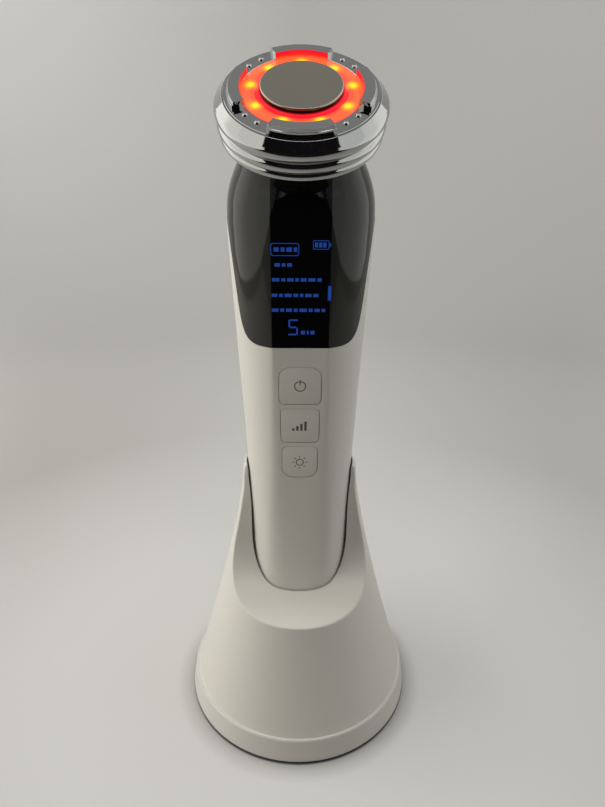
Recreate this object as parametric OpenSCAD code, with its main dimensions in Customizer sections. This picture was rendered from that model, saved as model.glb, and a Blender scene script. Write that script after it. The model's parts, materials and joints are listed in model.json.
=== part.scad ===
// Facial toning handset standing in its conical charging stand.
// Millimetres, +Z up. The origin is the centre of the stand's underside, and the buttons face -Y.

/* [Stand] */
// Radius of the base band at the table
base_r = 45; // [44.5:0.25:47]
// Radius of the base band at its upper edge
band_top_r = 43.5; // [43.3:0.1:44.2]
// Height of the base band's upper edge
band_h = 10.5; // [10:0.25:12]
// Radius of the cone where it stands on the band
cone_foot_r = 42.6; // [42.2:0.1:43.1]
// Radius that the cone's flare runs to at the rim
cone_top_r = 20.4; // [20:0.1:21.5]
// Height of the rim around the pocket
rim_h = 105; // [100:1:110]
// How hollow the cone's side is: 1 is a straight cone
flare_power = 1.3; // [1.15:0.05:1.4]
// Wall of the cone
stand_wall = 2.2; // [1.8:0.1:2.4]
// Radius of the scoop cut into the front of the cone
scoop_r = 25; // [23:0.5:27]
// Height of the scoop's lowest edge
scoop_low_z = 52; // [50:0.5:55]
// Distance from the axis to the scoop's upright wall, at the scoop's waist
scoop_wall_y = 7.3; // [6.5:0.1:8.5]
// Clearance of the handset in the pocket
pocket_gap = 0.65; // [0.5:0.05:0.8]
// Wall of the pocket tube
pocket_wall = 1.8; // [1.5:0.1:2]
// Radius of each rubber foot
foot_r = 5; // [4:0.5:6]
// How far the feet hold the base off the table
foot_proud = 0.8; // [0.5:0.1:1]
// Thickness of the steel ballast ring
ballast_t = 5.5; // [3:0.5:6.5]

/* [Handset] */
// Height of the handset's lower end above the table, seated
seat_z = 28; // [27:0.5:30]
// Radius at the lower end of the grip
grip_bottom_r = 17.8; // [17.5:0.1:18.2]
// Radius of the grip where it starts to widen
grip_r = 18.3; // [18.2:0.1:18.6]
// Length of the straight grip
grip_len = 56; // [52:1:60]
// Length over which the handle widens
flare_len = 108; // [104:1:114]
// Half width at the shoulder, below the head
shoulder_r = 23.45; // [23:0.05:24]
// Width of the flat front facet, from the display cover upwards
facet_w = 17.6; // [16.4:0.2:18]
// Width of the front facet at the lower end, where it fades into the round grip
facet_low_w = 15.4; // [14:0.2:16.4]
// Depth of the back, behind the axis, at the lower end
back_low = 16.8; // [16.4:0.1:17.4]
// Depth of the back, behind the axis, at the shoulder
back_high = 18.6; // [18:0.1:19.6]
// Rounding of the lower edge
end_round = 3; // [2:0.5:4]
// Wall of the white shells
shell_wall = 1.8; // [1.5:0.1:2]
// Wall of the black display cover
cover_wall = 1.5; // [1.3:0.1:1.7]
// Distance from the shoulder down to the cover's lower edge
cover_drop = 37.4; // [36.5:0.2:39]
// Visible gap between neighbouring covers
seam_gap = 0.1; // [0.05:0.05:0.2]
// Length of the bright side strips above the lower end
strip_len = 102; // [95:1:106]
// Width of the side strips
strip_w = 3; // [2.4:0.2:3.6]
// How far the side strips stand out
strip_proud = 0.25; // [0.15:0.05:0.3]

/* [Buttons] */
// Width of the upper button
mode_w = 13.6; // [13:0.1:14]
// Height of the upper button
mode_h = 13; // [12.4:0.1:13.4]
// Width of the middle button
level_w = 12.7; // [12:0.1:13.4]
// Height of the middle button
level_h = 12.5; // [12:0.1:12.8]
// Width of the lower button
light_w = 12; // [11.4:0.1:12.6]
// Height of the lower button
light_h = 12; // [11.4:0.1:12.4]
// Bare shell between two buttons
button_space = 1.75; // [1.6:0.05:2.2]
// Distance from the cover's lower edge down to the upper button
button_drop = 6.6; // [6.4:0.1:7.4]
// Clearance around each button in its window
button_gap = 0.15; // [0.1:0.05:0.25]
// Press travel of each button
button_travel = 0.4; // [0.3:0.05:0.45]

/* [Head] */
// Tilt of the head towards the front, in degrees
head_tilt = 35; // [33:0.5:37]
// How far the head's face centre lies in front of the axis
head_reach = 13.5; // [12.5:0.25:14.5]
// Height of the head's face centre above the shoulder
head_rise = 34.6; // [34:0.2:36]
// Radius of the cold plate
plate_r = 11.6; // [11.2:0.1:11.7]
// Inner radius of the light ring
light_in_r = 12; // [11.9:0.05:12.2]
// Outer radius of the light ring
light_out_r = 16.95; // [16.9:0.05:17.2]
// Outer radius of the electrode segments
segment_r = 20.7; // [20.2:0.1:21]
// How far the segments stand above the face
segment_h = 1.75; // [1.3:0.05:2.2]
// Angle that each segment spans, in degrees
segment_angle = 52; // [46:1:56]
// Radius of the circle of probe dots
dot_circle_r = 18.95; // [18.7:0.05:19.2]
// Radius of each probe dot
dot_r = 0.75; // [0.6:0.05:0.9]
// Outer radius of the face ring
face_r = 21.7; // [21.5:0.05:22]
// Greatest radius of the bezel
bezel_r = 24.7; // [24.4:0.1:25.2]
// Radius of the neck where it meets the head
neck_top_r = 17; // [16.8:0.1:17.4]

/* [Inside] */
// Radius of the battery cell
cell_r = 9; // [8:0.1:9.2]
// Length of the battery cell
cell_len = 65; // [50:1:66]
// Side of the square cooling module
cooler_w = 14; // [12:0.5:14.5]
// Thickness of the cooling module
cooler_t = 3.2; // [2.8:0.1:3.4]
// Length of the heat sink's fins
fin_len = 10; // [7:0.5:11]
// Radius of the vibration motor's can
motor_r = 4; // [3.5:0.1:4.2]
// Length of the vibration motor's can
motor_len = 11; // [9:0.5:12]
// Spacing of the two charging contacts
contact_pitch = 12; // [11:0.5:13]
// Stroke of the stand's spring contacts
contact_stroke = 0.6; // [0.4:0.1:0.8]

/* [Hidden] */
$fn = 96;
far = 80;          // reach of a cutting block, past every surface
eps = 0.02;        // how far a cutter runs past the face that it opens
fit = 0.05;        // running clearance of screws and pins in their holes

// Screws, each as [shank radius, head radius, head height, shank length]
base_screw = [1.4, 2.9, 1.8, 15];
dock_screw = [1, 2.1, 1.4, 11];
dock_board_screw = [0.9, 1.9, 1.2, 6];
inlet_screw = [0.8, 1.5, 1, 5];
cap_screw = [0.95, 1.9, 1.2, 6.5];
board_screw = [0.8, 1.7, 1, 4];
head_screw = [0.7, 1.1, 0.7, 2];

// Stand heights
floor_t = 2.2;
floor_top = foot_proud + floor_t;
foot_sink = 0.4;
foot_circle_r = base_r - 11;
screw_circle_r = cone_foot_r - 8.3;
base_screw_sink = 4.2;
base_screw_tip = foot_proud + base_screw_sink + base_screw[3];
base_post_r = 4;
base_boss_r = 3;
base_boss_h = 18;
base_boss_gap = 0.2;
ballast_gap = 1.3;
ballast_out_r = screw_circle_r - base_post_r - ballast_gap;
ballast_in_r = 12;
spigot_h = 2.5;
spigot_t = 1.5;
spigot_gap = 0.3;
rim_round = 8;
rim_edge = 0.4;
scoop_lean = 2.2;

// Handle stations
flare_z = seat_z + grip_len;
shoulder_z = flare_z + flare_len;
flare_steps = 10;
grip_steps = 4;
back_centre_y = -12;
neck_mid_rise = 8;
neck_mid_in = 0.8;
neck_front_rise = 15;
neck_front_in = 1.2;
back_line = [[seat_z, back_low], [shoulder_z - 26, back_high], [shoulder_z - 12, back_high],
  [shoulder_z, back_high - 0.5], [shoulder_z + neck_mid_rise, back_high - 1.7]];
seam_y = 1.5;
side_line = concat([[seat_z, grip_bottom_r]],
  [for (i = [0 : flare_steps]) let (t = i / flare_steps)
    [bezier(t, flare_z, flare_z + 18, shoulder_z - 10, shoulder_z),
     bezier(t, grip_r, grip_r, shoulder_r, shoulder_r)]]);
strip_depth = 0.8;

// Display cover's edge in side view, as offsets from the axis and its lower edge
cover_z = shoulder_z - cover_drop;
facet_line = [for (z = concat([for (i = [0 : grip_steps - 1]) seat_z + grip_len * i / grip_steps],
  [for (i = [1 : len(side_line) - 1]) side_line[i][0]])) [front_y(z), z]];
edge_corner = [[-18, 0], [-12.6, 0], [-11, 5], [-10.2, 12]];
edge_side = [[-10.2, 12], [-9.2, 21], [-8.5, 31], [-3, 41]];
edge_back = [[-3, 41], [2.5, 51], [12, 56], [26, 62]];
edge_steps = 6;

// Buttons, from the top down
corner_big = 3.8;
corner_small = 1.8;
mode_z = cover_z - button_drop - mode_h / 2;
level_z = mode_z - mode_h / 2 - button_space - level_h / 2;
light_z = level_z - level_h / 2 - button_space - light_h / 2;
flange_gap = 0.1;
flange_t = 0.8;
flange_w = 0.7;

// Main board and what stands on it
board_t = 1;
board_half_w = 12.3;
board_front_y = -10.5;
board_back_y = board_front_y + board_t;
board_low_z = light_z - light_h / 2 - 11;
board_top_z = shoulder_z - 2;
chip_t = 1;
main_chip_w = 7;
side_chip_w = 5;
post_x = 9.8;
post_r = 1.9;
post_low_z = board_low_z + 5.5;
post_high_z = cover_z - 3.4;
switch_w = 5;
switch_t = 1.8;
switch_tip_y = board_front_y - 2.4;
switch_tip_r = 1.2;
stem_r = 1.5;
stem_tip_y = switch_tip_y - button_travel - fit;
display_half_w = 9.3;
display_low_z = cover_z + 2.2;
display_high_z = shoulder_z - 3.4;
display_t = 1.6;
display_gap = 0.5;

// Lower end, battery and motor
cap_r = 13;
cap_flange_r = 14.2;
cap_flange_t = 1.6;
cap_screw_y = 9.6;
cap_screw_sink = 1.5;
cap_boss_r = 2.4;
cap_boss_h = 6;
pad_r = 2.6;
pad_t = 1;
pad_stem_r = 1.2;
pad_stem_top_z = seat_z + shell_wall + cap_flange_t + 1;
cell_low_z = seat_z + 10;
cradle_w = 2 * cell_r + 3;
cradle_in = 4;
cell_y = back_low - shell_wall - 1.5 - cell_r;
motor_low_z = mode_z + 8.5;
motor_y = back_y(motor_low_z) - shell_wall - 1.2 - motor_r;
weight_t = 3;
weight_gap = 1.2;
shaft_r = 0.6;
shaft_in = 1;
wire_r = 0.5;
lead_x = 2;

// Head, with heights counted along its own axis from the face
head_y = -head_reach;
head_z = shoulder_z + head_rise;
plate_top_h = 1.9;
plate_cap_t = 1.15;
plate_round = 0.4;
plate_stem_r = plate_r - 0.6;
face_t = 1.6;
flange_ring_t = 1;
plate_low_h = -1.4;
cooler_low_h = plate_low_h - cooler_t;
sink_base_t = 2.4;
sink_low_h = cooler_low_h - sink_base_t;
led_top_h = -4.2;
led_board_t = 0.8;
led_count = 9;
led_w = 1.6;
led_l = 2;
led_h = 0.8;
ledge_t = 1.4;
carrier_low_h = -12.3;
gasket_t = 0.5;
neck_h = carrier_low_h - gasket_t;
sleeve_out_r = neck_top_r - shell_wall - 0.4;
sleeve_t = 1.4;
sleeve_low_h = carrier_low_h - 2.2;
sleeve_low_in_r = 12;
bezel_in_r = face_r - 1.1;
bezel_front_h = -0.35;
roll_r = [2.3, 1.9, 1.6];
roll_h = [-3.9, -7.8, -10.7];
roll_in = [0, 0.4, 0.9];
bezel_lip = 0.45;
slope_bite = 0.03;
dot_spread = 7.2;
dot_pin_r = 0.35;
segment_pin_r = 0.8;
segment_pin_in = 1.5;
segment_step = 0.45;
edge_soft = 0.15;
head_screw_circle_r = 13.2;
head_screw_land = 0.8;
sink_ear_r = 14.7;
fin_pitch = 3.2;
fin_t = 1;
flex_w = 6;
flex_t = 0.25;
flex_head_y = -12.4;
flex_on_board = 7;

// Spring contacts
barrel_r = 1.9;
barrel_bore_r = 1.25;
pin_r = barrel_bore_r - fit;
pin_tip_r = 0.8;
pin_shoulder_z = seat_z - 1.4;
spring_rod_r = 0.14;
spring_turns = 4;
spring_solid_h = 2.8;
barrel_top_z = seat_z - 0.8;
dock_plate_low_z = seat_z - 4.5;
dock_flange_top_z = seat_z - 2;
dock_board_top_z = dock_plate_low_z - 3;
barrel_floor_z = dock_board_top_z + 0.8;
pin_low_z = barrel_floor_z + spring_solid_h + contact_stroke;
dock_board_t = 1;
dock_board_r = 15.5;
dock_post_y = 11;
dock_post_r = 2.5;
dock_boss_r = 2.6;
dock_boss_h = 14;
tube_r = side_r(seat_z) + pocket_gap + pocket_wall;
dock_screw_x = tube_r + 2.2;
dock_flange_r = dock_screw_x + 3;

// Charging inlet at the back
inlet_w = 8.94;
inlet_t = 3.26;
inlet_gap = 0.25;
inlet_wall = 0.3;
inlet_depth = 7.2;
inlet_board_low_z = 12;
inlet_board_t = 1;
inlet_board_w = 16;
inlet_board_top_z = inlet_board_low_z + inlet_board_t;
inlet_z = inlet_board_top_z + inlet_t / 2;
inlet_mouth_y = cone_r(inlet_z) - 0.6;
inlet_post_x = 5.5;
inlet_post_y = ballast_out_r + 3;
inlet_post_r = 1.9;
inlet_room = 0.3;
inlet_board_in = 2.2;

function bezier(t, a, b, c, d) =
  pow(1 - t, 3) * a + 3 * pow(1 - t, 2) * t * b + 3 * (1 - t) * t * t * c + pow(t, 3) * d;
function side_r(z) = lookup(z, side_line);
function facet_at(z) = lookup(z, [[seat_z, facet_low_w], [cover_z, facet_w]]);
function front_y(z) = -sqrt(pow(side_r(z), 2) - pow(facet_at(z) / 2, 2));
function back_y(z) = lookup(z, back_line);
function cone_r(z) = cone_top_r
  + (cone_foot_r - cone_top_r) * pow(1 - (z - band_h) / (rim_h - band_h), flare_power);
function unit(v) = v / norm(v);
function tangent(route, i) = unit((i > 0 ? unit(route[i] - route[i - 1]) : [0, 0, 0])
  + (i < len(route) - 1 ? unit(route[i + 1] - route[i]) : [0, 0, 0]));
function curve(p) = [for (i = [0 : edge_steps]) let (t = i / edge_steps)
  [bezier(t, p[0][0], p[1][0], p[2][0], p[3][0]), bezier(t, p[0][1], p[1][1], p[2][1], p[3][1])]];

// ---- Shared forms ----

// Extrudes a side view, drawn as [y, z], across the whole width
module across(width = 2 * far) {
  rotate([90, 0, 90]) linear_extrude(width, center = true) children();
}

module head_frame() {
  translate([0, head_y, head_z]) rotate([head_tilt, 0, 0]) children();
}

module ring(outer, inner, low, high) {
  translate([0, 0, low]) difference() {
    cylinder(r = outer, h = high - low);
    translate([0, 0, -1]) cylinder(r = inner, h = high - low + 2);
  }
}

// Everything behind the front facet, from below the handle to above the neck
module behind_facet(g) {
  neck_front_y = front_y(shoulder_z) + neck_front_in - g;
  across() polygon(concat([[far, 0], [front_y(seat_z) - g, 0]], [for (p = facet_line) [p[0] - g, p[1]]],
    [[neck_front_y, shoulder_z + neck_front_rise], [neck_front_y, 2 * shoulder_z], [far, 2 * shoulder_z]]));
}

// Everything in front of the softly curved back
module before_back(g) {
  top = shoulder_z + neck_mid_rise + 1;
  translate([0, back_centre_y, 0]) rotate_extrude() polygon(concat([[0, 0],
    [back_low - back_centre_y + g, 0]],
    [for (p = back_line) [p[1] - back_centre_y + g, p[0]]],
    [[back_line[4][1] - back_centre_y + g, top], [0, top]]));
}

// The handle below the shoulder, grown by g, with a square lower end at low
module grip_form(g, low) {
  intersection() {
    rotate_extrude() polygon(concat([[0, low], [side_r(seat_z) + g, low]],
      [for (p = side_line) if (p[0] > low) [p[1] + g, p[0]]], [[0, shoulder_z]]));
    behind_facet(g);
    before_back(g);
  }
}

// The lower end's rounded edge
module rounded_end() {
  rotate_extrude() polygon(concat([[0, seat_z]],
    [for (a = [0 : 15 : 90]) [grip_bottom_r - end_round + end_round * sin(a),
      seat_z + end_round - end_round * cos(a)]],
    [[far, seat_z + end_round], [far, 3 * shoulder_z], [0, 3 * shoulder_z]]));
}

// The neck, from the shoulder to the disc that carries the head
module neck_form(g, over) {
  intersection() {
    hull($fn = 48) {
      intersection() {
        translate([0, 0, shoulder_z - 0.2]) cylinder(r = shoulder_r + g, h = 0.2);
        before_back(g);
      }
      intersection() {
        translate([0, -neck_mid_in, shoulder_z + neck_mid_rise])
          cylinder(r = shoulder_r - neck_mid_in + g, h = 0.1);
        before_back(g);
      }
      head_frame() translate([0, 0, neck_h - 0.1]) cylinder(r = neck_top_r + g, h = 0.1 + over);
    }
    behind_facet(g);
  }
}

module handle_form(g, over = 0) {
  union() {
    grip_form(g, seat_z - g);
    neck_form(g, over);
  }
}

module handle_shell(wall) {
  difference() {
    intersection() {
      handle_form(0);
      rounded_end();
    }
    handle_form(-wall, 1);
  }
}

// Side region of the display cover, moved away from the shells by gap
module cover_region(gap) {
  translate([0, gap, -gap]) across() translate([0, cover_z]) polygon(concat([[-far, 0]],
    curve(edge_corner), curve(edge_side), curve(edge_back), [[far, 62], [far, 3 * far], [-far, 3 * far]]));
}

module front_half() {
  translate([-far, -2 * far + seam_y, 0]) cube([2 * far, 2 * far, 3 * shoulder_z]);
}

module rear_half() {
  translate([-far, seam_y, 0]) cube([2 * far, 2 * far, 3 * shoulder_z]);
}

// Room for the side strips, in the outer part of the shells
module strip_room(clear) {
  difference() {
    for (side = [-1, 1])
      translate([side * far / 2, seam_y - 0.5, seat_z + strip_len / 2])
        cube([far, strip_w + 2 * clear, strip_len + 2 * clear], center = true);
    grip_form(-strip_depth - clear, seat_z - 2);
  }
}

// A button's outline in front view, grown by g
module key_outline(w, h, top_r, low_r, g) {
  half = w / 2 + g;
  tall = h / 2 + g;
  top = top_r + g;
  low = low_r + g;
  for (side = [-1, 1]) {
    translate([side * (half - top), tall - top]) circle(top);
    translate([side * (half - low), low - tall]) circle(low);
  }
  translate([top - half, 0]) square([2 * (half - top), tall]);
  translate([low - half, -tall]) square([2 * (half - low), tall]);
  translate([-half, low - tall]) square([2 * half, 2 * tall - top - low]);
}

module key_prism(z, w, h, top_r, low_r, g) {
  translate([0, board_front_y, z]) rotate([90, 0, 0]) linear_extrude(far / 2)
    key_outline(w, h, top_r, low_r, g);
}

// A layer of the grip that lies between two depths below its surface
module grip_layer(depth, thickness) {
  difference() {
    grip_form(-depth, seat_z);
    grip_form(-depth - thickness, seat_z - 1);
  }
}

module button(z, w, h, top_r, low_r) {
  back = shell_wall + flange_gap + flange_t;
  intersection() {
    grip_layer(0, back);
    key_prism(z, w, h, top_r, low_r, 0);
  }
  intersection() {
    grip_layer(shell_wall + flange_gap, flange_t);
    key_prism(z, w, h, top_r, low_r, flange_w);
  }
  intersection() {
    translate([0, stem_tip_y, z]) rotate([90, 0, 0]) cylinder(r = stem_r, h = far / 2);
    grip_form(-back + flange_t / 4, seat_z);
  }
}

// A tube through rings of points, each ring with the same number of sides
module skin(points, sides) {
  rings = len(points) / sides;
  walls = [for (i = [0 : rings - 2]) for (j = [0 : sides - 1]) let (k = (j + 1) % sides)
    [sides * i + j, sides * i + k, sides * (i + 1) + k, sides * (i + 1) + j]];
  polyhedron(points, concat(walls, [[for (j = [sides - 1 : -1 : 0]) j]],
    [[for (j = [0 : sides - 1]) sides * (rings - 1) + j]]));
}

// A round wire along a route that is never parallel to X
module wire(route, r) {
  sides = 8;
  skin([for (i = [0 : len(route) - 1])
    let (t = tangent(route, i), u = unit(cross(t, [1, 0, 0])), w = cross(u, t))
      for (j = [0 : sides - 1]) route[i] + r * (cos(360 * j / sides) * u + sin(360 * j / sides) * w)],
    sides);
}

// A flat cable along a route in the middle plane
module ribbon(route, width, thickness) {
  last = len(route) - 1;
  half = [for (i = [0 : last]) cross([thickness / 2, 0, 0], tangent(route, i))];
  across(width) polygon(concat(
    [for (i = [0 : last]) [route[i][1] + half[i][1], route[i][2] + half[i][2]]],
    [for (i = [last : -1 : 0]) [route[i][1] - half[i][1], route[i][2] - half[i][2]]]));
}

// Screw with a flat head: the shank starts at z = 0 and points up
module screw(size) {
  translate([0, 0, -size[2]]) cylinder(r = size[1], h = size[2]);
  translate([0, 0, -size[2]]) cylinder(r = size[0], h = size[2] + size[3]);
}

module screw_hole(size, depth = far) {
  cylinder(r = size[0] + fit, h = depth);
}

// ---- Stand ----

module cone_form(g) {
  rim_low = rim_h - rim_round;
  rim_out = side_r(rim_h) + pocket_gap + rim_edge;
  steps = 12;
  rotate_extrude() polygon(concat([[0, band_h], [cone_foot_r + g, band_h]],
    [for (i = [1 : steps]) let (z = band_h + (rim_low - band_h) * i / steps) [cone_r(z) + g, z]],
    [for (a = [15 : 15 : 90]) [rim_out + g + (cone_r(rim_low) - rim_out) * cos(a),
      rim_low + rim_round * sin(a)]],
    [[0, rim_h]]));
}

// The scoop in side view, with its wall set back by g
module scoop_form(g) {
  centre_y = -scoop_wall_y - scoop_r;
  centre_z = scoop_low_z + scoop_r;
  across() {
    translate([centre_y, centre_z]) circle(scoop_r + g);
    polygon([[centre_y, centre_z], [g - scoop_wall_y, centre_z],
      [g - scoop_wall_y + scoop_lean, rim_h + 1], [-far, rim_h + 1], [-far, scoop_low_z - g],
      [centre_y, scoop_low_z - g]]);
  }
}

module pocket_form(g) {
  intersection() {
    grip_form(pocket_gap + g, 0);
    translate([-far, -far, dock_flange_top_z]) cube(2 * far);
  }
}

module at_base_screws() {
  for (a = [45 : 90 : 315]) rotate([0, 0, a]) translate([screw_circle_r, 0, 0]) children();
}

module at_dock_screws() {
  for (side = [-1, 1]) translate([side * dock_screw_x, 0, 0]) children();
}

module at_dock_posts() {
  for (side = [-1, 1]) translate([0, side * dock_post_y, 0]) children();
}

module at_inlet_posts() {
  for (side = [-1, 1]) translate([side * inlet_post_x, inlet_post_y, 0]) children();
}

module at_contacts() {
  for (side = [-1, 1]) translate([side * contact_pitch / 2, 0, 0]) children();
}

module stand_shell() {
  boss_low = band_h - 0.5;
  color("white") difference() {
    union() {
      difference() {
        cone_form(0);
        difference() {
          translate([0, 0, -eps]) cone_form(-stand_wall);
          pocket_form(pocket_wall);
          scoop_form(stand_wall);
          translate([0, 0, rim_h - 25]) cylinder(r = far, h = far);
        }
      }
      intersection() {
        union() {
          at_base_screws() translate([0, 0, boss_low]) cylinder(r = base_boss_r, h = base_boss_h);
          at_dock_screws() translate([0, 0, dock_flange_top_z]) cylinder(r = dock_boss_r, h = dock_boss_h);
        }
        translate([0, 0, boss_low - band_h]) cone_form(-0.8);
      }
    }
    pocket_form(0);
    scoop_form(0);
    at_base_screws() screw_hole(base_screw, base_screw_tip + 2);
    at_dock_screws() screw_hole(dock_screw, dock_plate_low_z + dock_screw[3] + 2);
    translate([0, inlet_mouth_y, inlet_z]) rotate([90, 0, 0]) inlet_outline(inlet_gap, inlet_depth + 5);
    translate([-inlet_w, inlet_mouth_y, inlet_z - inlet_t]) cube([2 * inlet_w, far, 2 * inlet_t]);
  }
}

module stand_base() {
  post_top = band_h - 0.5 - base_boss_gap;
  spigot_r = cone_r(band_h + spigot_h) - stand_wall - spigot_gap;
  notch_w = inlet_board_w + 2 * inlet_room;
  color("snow") difference() {
    union() {
      difference() {
        rotate_extrude() polygon([[0, foot_proud], [base_r - 0.6, foot_proud], [base_r, foot_proud + 0.6],
          [base_r, foot_proud + 1.4], [band_top_r + 0.15, band_h - 0.5], [band_top_r - 0.2, band_h],
          [0, band_h]]);
        translate([0, 0, floor_top]) cylinder(r = spigot_r, h = band_h);
      }
      ring(spigot_r, spigot_r - spigot_t, floor_top, band_h + spigot_h);
      at_base_screws() translate([0, 0, floor_top - 1])
        cylinder(r = base_post_r, h = post_top - floor_top + 1);
      at_inlet_posts() translate([0, 0, floor_top - 1])
        cylinder(r = inlet_post_r, h = inlet_board_low_z - floor_top + 1);
    }
    at_base_screws() {
      screw_hole(base_screw);
      cylinder(r = base_screw[1] + 0.3, h = foot_proud + base_screw_sink);
    }
    for (a = [0 : 90 : 270]) rotate([0, 0, a]) translate([foot_circle_r, 0, foot_proud - 1])
      cylinder(r = foot_r + fit, h = 1 + foot_sink);
    at_inlet_posts() translate([0, 0, inlet_board_low_z - inlet_screw[3]]) screw_hole(inlet_screw);
    translate([-notch_w / 2, inlet_post_y + inlet_post_r + 1, inlet_board_low_z - inlet_room])
      cube([notch_w, far, far]);
  }
}

module stand_feet() {
  color("dimgray") for (a = [0 : 90 : 270]) rotate([0, 0, a]) translate([foot_circle_r, 0, 0])
    cylinder(r = foot_r, h = foot_proud + foot_sink);
}

module base_screws() {
  color("silver") at_base_screws() translate([0, 0, foot_proud + base_screw_sink]) screw(base_screw);
}

module ballast() {
  color("slategray") ring(ballast_out_r, ballast_in_r, floor_top, floor_top + ballast_t);
}

module dock_plate() {
  color("gainsboro") difference() {
    union() {
      translate([0, 0, dock_plate_low_z]) cylinder(r = dock_flange_r, h = dock_flange_top_z - dock_plate_low_z);
      intersection() {
        grip_form(pocket_gap - 0.15, 0);
        translate([-far, -far, dock_plate_low_z]) cube([2 * far, 2 * far, seat_z - dock_plate_low_z]);
      }
      at_dock_posts() translate([0, 0, dock_board_top_z])
        cylinder(r = dock_post_r, h = dock_plate_low_z - dock_board_top_z + 1);
    }
    at_contacts() cylinder(r = barrel_r + fit, h = far);
    at_dock_screws() screw_hole(dock_screw);
    at_dock_posts() screw_hole(dock_board_screw, dock_flange_top_z + 0.5);
  }
}

module dock_screws() {
  color("silver") {
    at_dock_screws() translate([0, 0, dock_plate_low_z]) screw(dock_screw);
    at_dock_posts() translate([0, 0, dock_board_top_z - dock_board_t]) screw(dock_board_screw);
  }
}

module dock_board() {
  color("darkgreen") difference() {
    translate([0, 0, dock_board_top_z - dock_board_t]) cylinder(r = dock_board_r, h = dock_board_t);
    at_dock_posts() screw_hole(dock_board_screw);
  }
}

module contact_barrels() {
  color("goldenrod") at_contacts() difference() {
    translate([0, 0, dock_board_top_z]) cylinder(r = barrel_r, h = barrel_top_z - dock_board_top_z);
    translate([0, 0, barrel_floor_z]) cylinder(r = barrel_bore_r, h = far);
  }
}

module contact_pin(side) {
  tip_z = seat_z - eps - pin_tip_r;
  color("gold") translate([side * contact_pitch / 2, 0, 0]) {
    translate([0, 0, pin_low_z]) cylinder(r = pin_r, h = pin_shoulder_z - pin_low_z);
    translate([0, 0, pin_shoulder_z]) cylinder(r = pin_tip_r, h = tip_z - pin_shoulder_z);
    translate([0, 0, tip_z]) sphere(r = pin_tip_r, $fn = 32);
  }
}

module contact_pin_left() { contact_pin(-1); }
module contact_pin_right() { contact_pin(1); }

// A coil spring between two heights, swept as one tube
module coil(low, high, coil_r, rod_r, turns) {
  steps = 10 * turns;
  sides = 6;
  skin([for (i = [0 : steps]) let (a = 36 * i, z = low + rod_r + (high - low - 2 * rod_r) * i / steps)
    for (j = [0 : sides - 1]) let (b = 360 * j / sides, r = coil_r + rod_r * cos(b))
      [r * cos(a), r * sin(a), z + rod_r * sin(b)]], sides);
}

module contact_spring(side) {
  color("lightsteelblue") translate([side * contact_pitch / 2, 0, 0])
    coil(barrel_floor_z, pin_low_z, barrel_bore_r - spring_rod_r - 3 * fit, spring_rod_r, spring_turns);
}

module contact_spring_left() { contact_spring(-1); }
module contact_spring_right() { contact_spring(1); }

// Round-ended outline of the inlet, grown by g and extruded to depth
module inlet_outline(g, depth) {
  r = inlet_t / 2 + g;
  linear_extrude(depth) {
    for (side = [-1, 1]) translate([side * (inlet_w - inlet_t) / 2, 0]) circle(r, $fn = 48);
    square([inlet_w - inlet_t, 2 * r], center = true);
  }
}

module inlet_board() {
  front = inlet_post_y - inlet_post_r - 1.6;
  color("darkgreen") difference() {
    translate([-inlet_board_w / 2, front, inlet_board_low_z])
      cube([inlet_board_w, inlet_mouth_y - inlet_board_in - front, inlet_board_t]);
    at_inlet_posts() screw_hole(inlet_screw);
  }
}

module inlet_screws() {
  color("silver") at_inlet_posts() translate([0, 0, inlet_board_top_z]) rotate([180, 0, 0])
    screw(inlet_screw);
}

module inlet_shell() {
  color("silver") difference() {
    translate([0, inlet_mouth_y, inlet_z]) rotate([90, 0, 0]) inlet_outline(0, inlet_depth);
    translate([0, inlet_mouth_y + 1, inlet_z]) rotate([90, 0, 0]) inlet_outline(-inlet_wall, inlet_depth);
  }
}

module inlet_tongue() {
  tongue = [6.6, 5.2, 0.7];
  color("dimgray") translate([-tongue[0] / 2, inlet_mouth_y - inlet_depth + 1, inlet_z - tongue[2] / 2])
    cube(tongue);
}

module dock_leads() {
  low_z = dock_board_top_z - dock_board_t;
  color("firebrick") for (side = [-1, 1]) wire([
    [lead_x * side, inlet_post_y - 2, inlet_board_top_z],
    [lead_x * side, inlet_post_y - 2, inlet_board_top_z + 3],
    [lead_x * side, dock_board_r + 0.5, low_z - 2],
    [lead_x * side, dock_board_r - 2.5, low_z - 1],
    [lead_x * side, dock_board_r - 2.5, low_z]], wire_r);
}

// ---- Handset shells ----

// Places on the main board's front face, with children pointing forwards
module at_board_posts() {
  for (side = [-1, 1]) for (z = [post_low_z, post_high_z])
    translate([side * post_x, board_front_y, z]) rotate([90, 0, 0]) children();
}

module board_posts() {
  intersection() {
    at_board_posts() difference() {
      cylinder(r = post_r, h = far / 2);
      translate([0, 0, -board_t]) screw_hole(board_screw, board_screw[3] + 1);
    }
    grip_form(-shell_wall / 3, seat_z);
  }
}

// Boss for a cap screw, tied to the shell's wall by a rib
module cap_boss(side) {
  low = seat_z + shell_wall + cap_flange_t;
  intersection() {
    translate([0, 0, low]) difference() {
      union() {
        translate([0, side * cap_screw_y, 0]) cylinder(r = cap_boss_r, h = cap_boss_h);
        translate([-1, side > 0 ? cap_screw_y : -far, 0]) cube([2, far - cap_screw_y, cap_boss_h]);
      }
      translate([0, side * cap_screw_y, -1]) screw_hole(cap_screw, cap_boss_h);
    }
    grip_form(-shell_wall / 3, seat_z);
  }
}

module cap_opening() {
  translate([0, 0, seat_z - 1]) cylinder(r = cap_r + seam_gap, h = shell_wall + 2);
}

module key_windows() {
  key_prism(mode_z, mode_w, mode_h, corner_big, corner_small, button_gap);
  key_prism(level_z, level_w, level_h, corner_small, corner_small, button_gap);
  key_prism(light_z, light_w, light_h, corner_small, corner_big, button_gap);
}

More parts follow.
